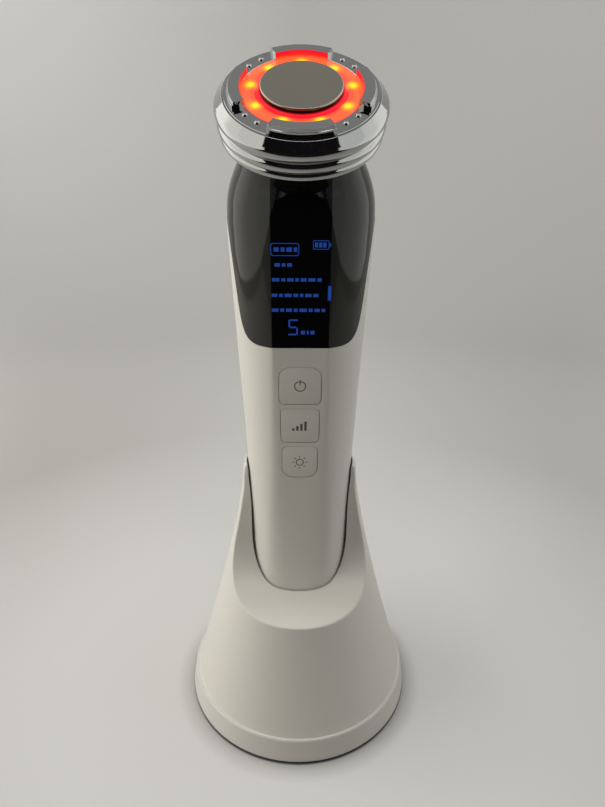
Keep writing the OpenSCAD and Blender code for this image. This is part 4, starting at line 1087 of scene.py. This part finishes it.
def scoop_depth(z):
    """Depth of the scoop's surface at a height."""
    below = np.minimum(z, SCOOP_MID_Z) - SCOOP_MID_Z
    floor = SCOOP_MID_Y + np.sqrt(np.maximum(SCOOP_R ** 2 - below ** 2, 0))
    wall = SCOOP_WALL_Y + SCOOP_LEAN * (z - SCOOP_MID_Z) / (RIM_H + 1 - SCOOP_MID_Z)
    return np.where(z < SCOOP_MID_Z, floor, wall)


def scoop_run(z):
    """Length along the scoop's profile, from its lowest line up to a height."""
    arc_angle = np.arcsin(np.clip((z - SCOOP_MID_Z) / SCOOP_R, -1, 0))
    return SCOOP_R * (arc_angle + math.pi / 2) + np.maximum(z - SCOOP_MID_Z, 0)


def scoop_height(run):
    """Height reached after a length along the scoop's profile."""
    quarter = SCOOP_R * math.pi / 2
    return np.where(run < quarter, SCOOP_MID_Z - SCOOP_R * np.cos(run / SCOOP_R), SCOOP_MID_Z + run - quarter)


def pocket_reach(z, s):
    """Radius of the pocket's wall: the gap is widest beside the handle, above the scoop's floor."""
    swell = 0.5 + 0.5 * np.cos(math.pi * np.clip((z - SWELL_Z) / SWELL_REACH, -1, 1))
    return handle_outline(z, s) + POCKET_GAP + SWELL * swell * (1 - np.clip(s, -1, 1) ** 2)


def stand_sides(p):
    """Signed distances, about, from the cone, the scoop and the pocket wall."""
    x, y, z = p
    r = np.hypot(x, y)
    cone = (r - np.interp(z, *CONE)) * 0.96
    cone = soft_max(cone, z - RIM_H, 0.5)
    trough = np.hypot(y - SCOOP_MID_Y, z - SCOOP_MID_Z) - SCOOP_R
    scoop = np.where(z > SCOOP_MID_Z, (y - scoop_depth(z)) * 0.997,
                     np.where(y > SCOOP_MID_Y, trough, SCOOP_LOW_Z - z))
    pocket = r - pocket_reach(z, y / np.maximum(r, 1e-6))
    return cone, scoop, pocket


def stand_gap(p, lip, pocket_lip):
    """Signed distance, about, from the stand shell's rounded outer skin; below zero is inside."""
    cone, scoop, pocket = stand_sides(p)
    return soft_max(soft_max(cone, -scoop, lip), -pocket, pocket_lip)


def snapped(p, gap, reach=1.2):
    """Moves points that are near the zero surface of gap onto it."""
    p = [np.array(c, float) for c in p]
    d = 0.01
    for _ in range(5):
        slope = []
        for k in range(3):
            ahead = [c + (d if n == k else 0) for n, c in enumerate(p)]
            behind = [c - (d if n == k else 0) for n, c in enumerate(p)]
            slope.append((gap(ahead) - gap(behind)) / (2 * d))
        value = gap(p)
        move = np.where(np.abs(value) < reach, value / np.maximum(sum(g * g for g in slope), 1e-4), 0)
        p = [c - move * g for c, g in zip(p, slope)]
    return p


def even_spread(points, count):
    """Points at equal steps along a line of points."""
    points = np.array(points)
    run = np.concatenate([[0], np.cumsum(np.linalg.norm(np.diff(points, axis=0), axis=1))])
    at = np.linspace(0, run[-1], count)
    return np.stack([np.interp(at, run, points[:, k]) for k in range(points.shape[1])], axis=1)


def pocket_crossing(depth, height):
    """Where the pocket's side, round from the front at a height, last passes a depth, or None."""
    s = np.linspace(-1, -0.05, 800)
    reach = pocket_reach(np.full(len(s), height), s)
    passed = np.where(reach * s <= depth)[0]
    if not len(passed):
        return None
    k = passed[-1]
    return reach[k] * math.sqrt(max(1 - s[k] ** 2, 0)), depth, height


def along_rim(line, reach, back):
    """Carries a line on round the rim to its middle at the back, at the radius that reach gives."""
    first = math.atan2(line[-1, 1], line[-1, 0])
    angle = first + (math.pi / 2 - first) * np.linspace(0, 1, back + 1)[1:]
    r = reach(angle)
    return np.concatenate([line, np.stack([r * np.cos(angle), r * np.sin(angle), np.full(back, RIM_H)], 1)])


def stand_lines(front, back):
    """The lip's and the pocket edge's points for each column of one half, from front to back."""
    z = np.concatenate([SCOOP_LOW_Z + SCOOP_R * (1 - np.cos(np.linspace(0, math.pi / 2, 400))),
                        np.linspace(SCOOP_MID_Z, RIM_H, 120)[1:]])
    y = scoop_depth(z)
    r = np.interp(z, *CONE)
    ok = (r > np.abs(y))
    lip = np.stack([np.sqrt(np.maximum(r[ok] ** 2 - y[ok] ** 2, 0)), y[ok], z[ok]], axis=1)
    lip[0, 0] = 0
    edge = [point for point in map(pocket_crossing, y, z) if point is not None]
    edge[0] = (0.0, edge[0][1], edge[0][2])
    lip, edge = even_spread(lip, front + 1), even_spread(edge, front + 1)
    return (along_rim(lip, lambda angle: CONE[1][-1], back),
            along_rim(edge, lambda angle: pocket_reach(np.full(back, RIM_H), np.sin(angle)), back))


class TONING_OT_stand(Operator):
    """Builds the conical stand shell with its scoop, pocket and inlet opening"""
    bl_idname = "toning.stand"
    bl_label = "Stand"

    def execute(self, context):
        front, back = 60, 40
        count = front + back
        lip, edge = stand_lines(front, back)
        # angles at the foot: the front arc, then a fan under the upright sides, then the back
        foot = np.interp(np.arange(count + 1), [0, front * 0.36, front, count], [-90, -34, 18, 90])
        foot = np.radians(foot)
        outer, across, inner = 56, 26, 34
        rows = outer + across + inner
        run = np.concatenate([[0], np.cumsum(np.hypot(np.diff(CONE[0]), np.diff(CONE[1])))])

        def place(i, j):
            side = np.where(i > count, -1, 1)
            c = np.where(i > count, 2 * count - i, i)
            top, rim = lip[c], edge[c]
            # up the cone
            u = np.clip(j / outer, 0, 1)
            u = 1 - (1 - u) ** 1.9
            turn = foot[c] + (np.arctan2(top[:, 1], top[:, 0]) - foot[c]) * u
            far = np.interp(top[:, 2], CONE[0], run)
            h = np.interp(far * u, run, CONE[0])
            r = np.interp(far * u, run, CONE[1])
            cone = np.stack([r * np.cos(turn), r * np.sin(turn), h], 1)
            # across the scoop or the rim
            v = np.clip((j - outer) / across, 0, 1)
            v = (1 - np.cos(math.pi * v)) / 2
            flat = top + (rim - top) * v[:, None]
            in_scoop = c <= front
            first, last = scoop_run(top[:, 2]), scoop_run(rim[:, 2])
            z = scoop_height(first + (last - first) * v)
            flat[:, 2] = np.where(in_scoop, z, flat[:, 2])
            flat[:, 1] = np.where(in_scoop, scoop_depth(z), flat[:, 1])
            # down the pocket
            w = np.clip((j - outer - across) / inner, 0, 1) ** 1.7
            turn = np.arctan2(rim[:, 1], rim[:, 0]) * (1 - w) + foot[c] * w
            h = rim[:, 2] + (POCKET_FLOOR_Z - rim[:, 2]) * w
            r = pocket_reach(h, np.sin(turn))
            pocket = np.stack([r * np.cos(turn), r * np.sin(turn), h], 1)
            out = np.where((j <= outer + across)[:, None], flat, pocket)
            out = np.where((j <= outer)[:, None], cone, out)
            return side * out[:, 0], out[:, 1], out[:, 2]

        bm = grid(2 * count, rows, place)
        for v in bm.verts:
            if abs(v.co.x) < 1e-6:
                v.co.x = 0
        bmesh.ops.remove_doubles(bm, verts=bm.verts, dist=1e-4)
        co = np.array([v.co for v in bm.verts]).T
        lip_blend, pocket_blend = mm(sizes().lip) * 1.75, mm(sizes().pocket_lip) * 1.75
        near = snapped(co, lambda p: stand_gap(p, lip_blend, pocket_blend))
        # the foot and the pocket's floor line stay where they are
        keep = (co[2] < BAND_H + 0.01) | (co[2] < POCKET_FLOOR_Z + 0.01) & (np.hypot(co[0], co[1]) < 21)
        for v, x, y, z, k in zip(bm.verts, *near, keep):
            if not k:
                v.co = (x, y, z)
        bmesh.ops.recalc_face_normals(bm, faces=bm.faces)
        bm.faces.ensure_lookup_table()
        probe = max(bm.faces, key=lambda f: math.hypot(*f.calc_center_median().xy))
        if probe.normal.xy.dot(probe.calc_center_median().xy) < 0:
            bmesh.ops.reverse_faces(bm, faces=bm.faces)
        white = white_finish("satin_white_stand")
        tree = white.node_tree
        # painted shade: down the pocket's wall, from 0.5 to 3 mm past its lips, the white is painted grey
        pocket_shade_attribute = tree.nodes.new("ShaderNodeAttribute")
        pocket_shade_attribute.attribute_name = "pocket_painted_shade"
        shade = scaled(tree, pocket_shade_attribute.outputs["Fac"], 0.5, 3.0)
        recolour(tree, shade, (0.2, 0.195, 0.187, 1))
        cone = finished("cone_stand", bm, white, sharp=60)
        co = np.array([v.co for v in cone.data.vertices]).T / MM
        turn = np.arctan2(co[1], np.abs(co[0]))
        room = np.interp(co[2], *CONE) - pocket_reach(co[2], np.sin(turn))
        # the wall thins towards the lips, where its inner side would cross itself
        surfaces = np.abs(stand_sides(co))
        lips = np.sort(surfaces, axis=0)[1]
        # mask of the pocket's painted shade: on the pocket's wall, the distance to the nearest lip
        depth = cone.data.attributes.new("pocket_painted_shade", "FLOAT", "POINT")
        depth.data.foreach_set("value", np.where(surfaces[2] < 0.2, lips, 0.0).astype(np.float32))
        share = np.clip(np.minimum(0.4 * room, 0.12 + 0.4 * lips) / STAND_WALL, 0.03, 1)
        walls = cone.vertex_groups.new(name="wall")
        for index, weight in enumerate(share):
            walls.add([index], float(weight), "REPLACE")
        solid = cone.modifiers.new("wall", "SOLIDIFY")
        solid.thickness = STAND_WALL * MM
        solid.offset = -1
        solid.vertex_group = "wall"
        settle(cone, 60)
        cone.vertex_groups.clear()
        slot = prism([(x, z + 14.63) for x, z in key_outline(9.44, 3.76, 1.88, 1.88)], 32, 48)
        land = prism(bar(-8.94, 11.37, 8.94, 17.89), 40.75, 48)
        carve(cone, [finished("cutter", slot, white), finished("cutter", land, white)])
        fit_out(cone, "stand", "shell_white", "stand_shell")
        return {"FINISHED"}


def plain(colour, rough, **more):
    return dict(colour=colour + (1,), rough=rough, **more)


def metallic(colour, rough, **more):
    return plain(colour, rough, metal=1.0, **more)


CAD_FINISHES = {
    "base_white": plain((0.80, 0.775, 0.745), 0.36, drift=0.02),
    "button_white": plain((0.8, 0.79, 0.76), 0.38, drift=0.02),
    "shell_white": plain((0.8, 0.79, 0.755), 0.36, drift=0.02),
    "cover_black": plain((0.004, 0.004, 0.005), 0.08, drift=0.1),
    "chrome_bezel": metallic((0.66, 0.66, 0.66), 0.07),
    "chrome_face": metallic((0.66, 0.66, 0.66), 0.08),
    "strip_silver": metallic((0.7, 0.7, 0.7), 0.2),
    "plate_steel": metallic((0.6, 0.57, 0.5), 0.27),
    "light_lens": plain((0.5, 0.08, 0.03), 0.3),
    "rubber_dark": plain((0.012, 0.012, 0.014), 0.75, drift=0.2, bump=0.03, grain=1500.0),
    "rubber_grey": plain((0.1, 0.1, 0.1), 0.7, drift=0.15, bump=0.02),
    "ballast_iron": metallic((0.16, 0.16, 0.17), 0.5, drift=0.2, bump=0.05, grain=900.0),
    "screw_steel": metallic((0.45, 0.45, 0.46), 0.3, drift=0.1, drift_scale=300.0),
    "spring_steel": metallic((0.5, 0.5, 0.5), 0.25, drift=0.1, drift_scale=200.0),
    "contact_gold": metallic((0.83, 0.57, 0.2), 0.2, drift_scale=200.0),
    "inlet_steel": metallic((0.55, 0.55, 0.56), 0.22, drift=0.08, drift_scale=200.0),
    "tongue_black": plain((0.01, 0.01, 0.011), 0.5),
    "board_green": plain((0.012, 0.085, 0.03), 0.35, drift=0.15, drift_scale=120.0),
    "chip_black": plain((0.014, 0.014, 0.015), 0.55, drift=0.2, bump=0.02),
    "switch_steel": metallic((0.5, 0.5, 0.5), 0.3),
    "lead_red": plain((0.4, 0.02, 0.02), 0.5),
    "display_glass": plain((0.01, 0.014, 0.03), 0.06),
    "inner_grey": plain((0.13, 0.13, 0.14), 0.5, bump=0.02),
    "inner_white": plain((0.62, 0.62, 0.6), 0.5, bump=0.02),
    "cell_blue": plain((0.03, 0.09, 0.35), 0.3, drift=0.1, drift_scale=100.0),
    "motor_steel": metallic((0.5, 0.5, 0.5), 0.3, drift=0.1),
    "weight_tungsten": metallic((0.2, 0.2, 0.21), 0.45, drift=0.15),
    "cooler_ceramic": plain((0.75, 0.75, 0.72), 0.4),
    "sink_aluminium": metallic((0.6, 0.6, 0.6), 0.35, drift=0.1, drift_scale=150.0),
    "led_amber": plain((0.75, 0.4, 0.05), 0.3),
    "flex_amber": plain((0.5, 0.2, 0.04), 0.35, drift=0.1, drift_scale=150.0),
}


class TONING_OT_cad_finishes(Operator):
    """Gives every carried-over CAD node its finish"""
    bl_idname = "toning.cad_finishes"
    bl_label = "Finishes"

    def execute(self, context):
        slots = {part["node"]: part["material_slot"] for part in frame["record"]["subparts"]}
        for name, obj in frame["nodes"].items():
            mat = finish("node_" + slots[name], **CAD_FINISHES[slots[name]])
            obj.data.materials.clear()
            obj.data.materials.append(mat)
        return {"FINISHED"}


# ---- Stage ----

# Glow of the set over the way from its foot to its top, in metres: an even middle, a shaded pool low down
# at each side. SIDE_BEARING is where the side's own glow is reached.
SIDE_BEARING, WAY = 0.4, 1.4
GLOW_LEFT = [(0.1, 0.2), (0.25, 0.0), (1.4, 0.4)]
GLOW_MIDDLE = [(0.0, 0.17), (1.4, 0.17)]
GLOW_RIGHT = [(0.1, 0.2), (0.25, 0.05), (1.4, 0.2)]

# Lamps: name, place, aim, size, power as (property, share), tint. The shine lamps are seen by metal and gloss
# alone, the others by nothing else. They stand in planes of their own, where none hides another.
WARM, COOL = (1, 0.985, 0.9), (0.97, 1, 0.965)
LAMPS = [("light_left", (-0.56, 0.0, 0.44), (1, 0, 0), (0.8, 0.85), ("left_light", 1.0), WARM),
         ("light_right", (0.56, 0.0, 0.44), (-1, 0, 0), (0.8, 0.85), ("right_light", 1.0), COOL),
         ("light_top", (0.0, 0.0, 0.9), (0, 0, -1), (1.0, 0.8), ("top_light", 1.0), WARM),
         ("shine_left", (-0.59, -0.15, 0.44), (1, 0, 0), (1.1, 0.85), ("left_light", 0.65), WARM),
         ("shine_right", (0.59, -0.15, 0.44), (-1, 0, 0), (1.1, 0.85), ("right_light", 1.45), COOL)]

# Camera: place in metres, turn in degrees, focal length and picture height in pixels
CAMERA_PLACE = (-0.000457, -0.200092, 0.212907)
CAMERA_TURN = (66.858, -0.368, -0.237)
FOCAL_PX, PICTURE_PX, SENSOR = 606, 807, 36


def set_bowl():
    """Floor and backdrop in one: a flat disc that curves up into an upright wall."""
    flat_r, bend_r, top_z = 540, 420, 800
    profile = [(0.0, 0.0)] + [(float(r), 0.0) for r in range(60, flat_r + 1, 20)]
    for a in np.linspace(0, math.pi / 2, 25)[1:]:
        profile.append((flat_r + bend_r * math.sin(a), bend_r - bend_r * math.cos(a)))
    profile.append((flat_r + bend_r, top_z))
    bm = bmesh.new()
    verts = [bm.verts.new((r, 0, h)) for r, h in profile]
    for a, b in zip(verts, verts[1:]):
        bm.edges.new((a, b))
    bmesh.ops.spin(bm, geom=bm.verts[:] + bm.edges[:], cent=(0, 0, 0), axis=(0, 0, 1), dvec=(0, 0, 0),
                   angle=2 * math.pi, steps=96, use_merge=True, use_normal_flip=False, use_duplicate=False)
    bmesh.ops.remove_doubles(bm, verts=bm.verts, dist=1e-4)
    bmesh.ops.recalc_face_normals(bm, faces=bm.faces)
    bm.faces.ensure_lookup_table()
    if min(bm.faces, key=lambda f: f.calc_center_median().length).normal.z < 0:
        bmesh.ops.reverse_faces(bm, faces=bm.faces)
    return bm


def front_of_room(tree, coords, y, glossy):
    """Colour of the set for every ray but the camera's: the table, with painted shade towards the front and a
    paler painted reflection, and the dim room in front of it, with painted warm glints.
    """
    noise = tree.nodes.new("ShaderNodeTexNoise")
    noise.inputs["Scale"].default_value = 22.0
    tree.links.new(coords, noise.inputs["Vector"])
    # painted glints: warm spots in the dim room
    room = ramp(tree, noise.outputs["Fac"],
                [(0.0, (0.012, 0.014, 0.026, 1)), (0.6, (0.014, 0.014, 0.018, 1)),
                 (0.66, (0.03, 0.02, 0.012, 1)), (0.72, (0.2, 0.1, 0.04, 1))])
    # painted shade: the table darkens towards the front; painted reflection: glossy rays see it paler
    back = scaled(tree, y, -0.4, -0.08)
    table = ramp(tree, back, [(0.0, (0.1, 0.095, 0.09, 1)), (1.0, (0.36, 0.335, 0.32, 1))])
    sheen = ramp(tree, back, [(0.0, (0.3, 0.3, 0.3, 1)), (1.0, (0.56, 0.55, 0.54, 1))])
    table = mix_colour(tree, glossy, table, sheen)
    return mix_colour(tree, scaled(tree, y, -0.32, -0.29), room, table)


def backdrop_glow(tree, x, reach, z):
    """Glow of the background, by the way along the set and by the bearing from its middle."""
    way = math_node(tree, "DIVIDE", math_node(tree, "ADD", reach, z), WAY)
    bearing = math_node(tree, "DIVIDE", x, math_node(tree, "ADD", reach, 0.2))
    left, middle, right = [ramp(tree, way, [(at / WAY, (v * 1.005, v, v * 0.98, 1)) for at, v in stops])
                           for stops in (GLOW_LEFT, GLOW_MIDDLE, GLOW_RIGHT)]
    glow = mix_colour(tree, scaled(tree, bearing, -SIDE_BEARING, 0), left, middle)
    return mix_colour(tree, scaled(tree, bearing, 0, SIDE_BEARING), glow, right)


def set_material():
    mat = bpy.data.materials.new("pale_set")
    mat.use_nodes = True
    tree = mat.node_tree
    shader = tree.nodes["Principled BSDF"]
    shader.inputs["Roughness"].default_value = 0.9
    shader.inputs["Specular IOR Level"].default_value = 0.1
    coords = tree.nodes.new("ShaderNodeTexCoord").outputs["Object"]
    split = tree.nodes.new("ShaderNodeSeparateXYZ")
    tree.links.new(coords, split.inputs[0])
    x, y, z = split.outputs
    path = tree.nodes.new("ShaderNodeLightPath")
    camera, glossy = path.outputs["Is Camera Ray"], path.outputs["Is Glossy Ray"]
    colour = mix_colour(tree, camera, front_of_room(tree, coords, y, glossy), (0.58, 0.568, 0.565, 1))
    reach = math_node(tree, "SQRT", math_node(tree, "MULTIPLY_ADD", x, x, math_node(tree, "MULTIPLY", y, y)))
    # painted shadow: the floor is painted dark in the crack below the stand, and has no glow of its own close
    # to it
    painted_contact_shadow = scaled(tree, reach, 0.0447, 0.0454)
    clear = scaled(tree, reach, 0.0448, 0.0525)
    tree.links.new(mix_colour(tree, painted_contact_shadow, (0.12, 0.11, 0.13, 1), colour), shader.inputs["Base Color"])
    seen = math_node(tree, "MAXIMUM", camera, path.outputs["Is Transmission Ray"])
    rear = math_node(tree, "MULTIPLY", glossy, scaled(tree, y, 0.0, 0.2))
    seen = math_node(tree, "MULTIPLY", math_node(tree, "MAXIMUM", seen, rear), clear)
    glow = mix_colour(tree, seen, (0, 0, 0, 1), backdrop_glow(tree, x, reach, z))
    tree.links.new(glow, shader.inputs["Emission Color"])
    shader.inputs["Emission Strength"].default_value = 1.0
    return mat


def studio_world():
    """A dim room, brighter towards the back and the sides, with a small bright panel high in front."""
    world = bpy.data.worlds.new("studio")
    world.use_nodes = True
    sky = world.node_tree
    where = sky.nodes.new("ShaderNodeTexCoord")
    split = sky.nodes.new("ShaderNodeSeparateXYZ")
    sky.links.new(where.outputs["Generated"], split.inputs[0])
    x, y, z = split.outputs
    ceiling = ramp(sky, scaled(sky, y, -0.75, 0.15),
                   [(0.0, (0.02, 0.02, 0.022, 1)), (0.5, (0.08, 0.08, 0.08, 1)),
                    (1.0, (0.32, 0.32, 0.315, 1))])
    out = math_node(sky, "ABSOLUTE", x)
    lift = mix_colour(sky, scaled(sky, out, 0.22, 0.42), (1, 1, 1, 1), (3, 3, 2.9, 1))
    ceiling = mix_colour(sky, 1.0, ceiling, lift, "MULTIPLY")
    # the panel draws the fine lines along the metal's edges
    tall = scaled(sky, math_node(sky, "ABSOLUTE", math_node(sky, "ADD", y, 0.6)), 0.14, 0.11)
    wide, upper = scaled(sky, out, 0.5, 0.4), scaled(sky, z, 0.55, 0.6)
    panel = math_node(sky, "MULTIPLY", math_node(sky, "MULTIPLY", tall, wide), upper)
    seen = mix_colour(sky, panel, ceiling, (2.4, 2.35, 2.15, 1))
    path = sky.nodes.new("ShaderNodeLightPath")
    share = mix_colour(sky, path.outputs["Is Diffuse Ray"], (1, 1, 1, 1), (0.2, 0.2, 0.2, 1))
    sky.links.new(mix_colour(sky, 1.0, seen, share, "MULTIPLY"), sky.nodes["Background"].inputs["Color"])
    sky.nodes["Background"].inputs["Strength"].default_value = 1.0
    return world


def placed(name, data, place, turn):
    """Adds a lamp's or a camera's object to the scene."""
    obj = bpy.data.objects.new(name, data)
    bpy.context.scene.collection.objects.link(obj)
    obj.location = place
    obj.rotation_euler = turn
    return obj


class TONING_OT_stage(Operator):
    """Builds the pale seamless set, the lights and the camera"""
    bl_idname = "toning.stage"
    bl_label = "Stage and Camera"

    def execute(self, context):
        finished("set_bowl", set_bowl(), set_material(), sharp=60)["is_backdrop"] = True
        context.scene.world = studio_world()
        for name, place, aim, size, (power, share), tint in LAMPS:
            lamp = bpy.data.lights.new(name, "AREA")
            lamp.shape = "RECTANGLE"
            lamp.size, lamp.size_y = size
            lamp.energy = getattr(colours(), power) * share
            lamp.color = tint
            obj = placed(name, lamp, place, Vector(aim).to_track_quat("-Z", "Y").to_euler())
            obj.visible_camera = False
            obj.visible_glossy = name.startswith("shine")
            obj.visible_diffuse = name.startswith("light")

        camera = bpy.data.cameras.new("camera")
        camera.sensor_width = SENSOR
        camera.lens = FOCAL_PX / PICTURE_PX * SENSOR
        camera.clip_start, camera.clip_end = 0.01, 20
        context.scene.camera = placed("camera", camera, CAMERA_PLACE, [math.radians(a) for a in CAMERA_TURN])
        context.scene.view_settings.view_transform = "Standard"
        return {"FINISHED"}


class TONING_PT_panel(Panel):
    """Lists the steps that build the handset and its stand"""
    bl_idname = "TONING_PT_panel"
    bl_label = "Toning Handset"
    bl_space_type = "VIEW_3D"
    bl_region_type = "UI"
    bl_category = "Toning Handset"

    def draw(self, context):
        layout = self.layout
        for group in (context.scene.toning_sizes, context.scene.toning_colours):
            for name in group.__annotations__:
                layout.prop(group, name)
        for step in STEPS:
            layout.operator(step.bl_idname)


STEPS = (TONING_OT_stage, TONING_OT_cad_finishes, TONING_OT_handle_shells, TONING_OT_side_strips,
         TONING_OT_keys, TONING_OT_display_marks, TONING_OT_head, TONING_OT_lit_centre, TONING_OT_stand)
CLASSES = (ToningSizes, ToningColours) + STEPS + (TONING_PT_panel,)


def register():
    for cls in CLASSES:
        bpy.utils.register_class(cls)
    bpy.types.Scene.toning_sizes = PointerProperty(type=ToningSizes)
    bpy.types.Scene.toning_colours = PointerProperty(type=ToningColours)


def unregister():
    del bpy.types.Scene.toning_colours
    del bpy.types.Scene.toning_sizes
    for cls in reversed(CLASSES):
        bpy.utils.unregister_class(cls)


def main():
    def corners():
        low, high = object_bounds()
        return [list(low), list(high)]

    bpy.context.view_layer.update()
    register()
    for step in STEPS:
        group, name = step.bl_idname.split(".")
        getattr(getattr(bpy.ops, group), name)()


if __name__ == "__main__":
    main()
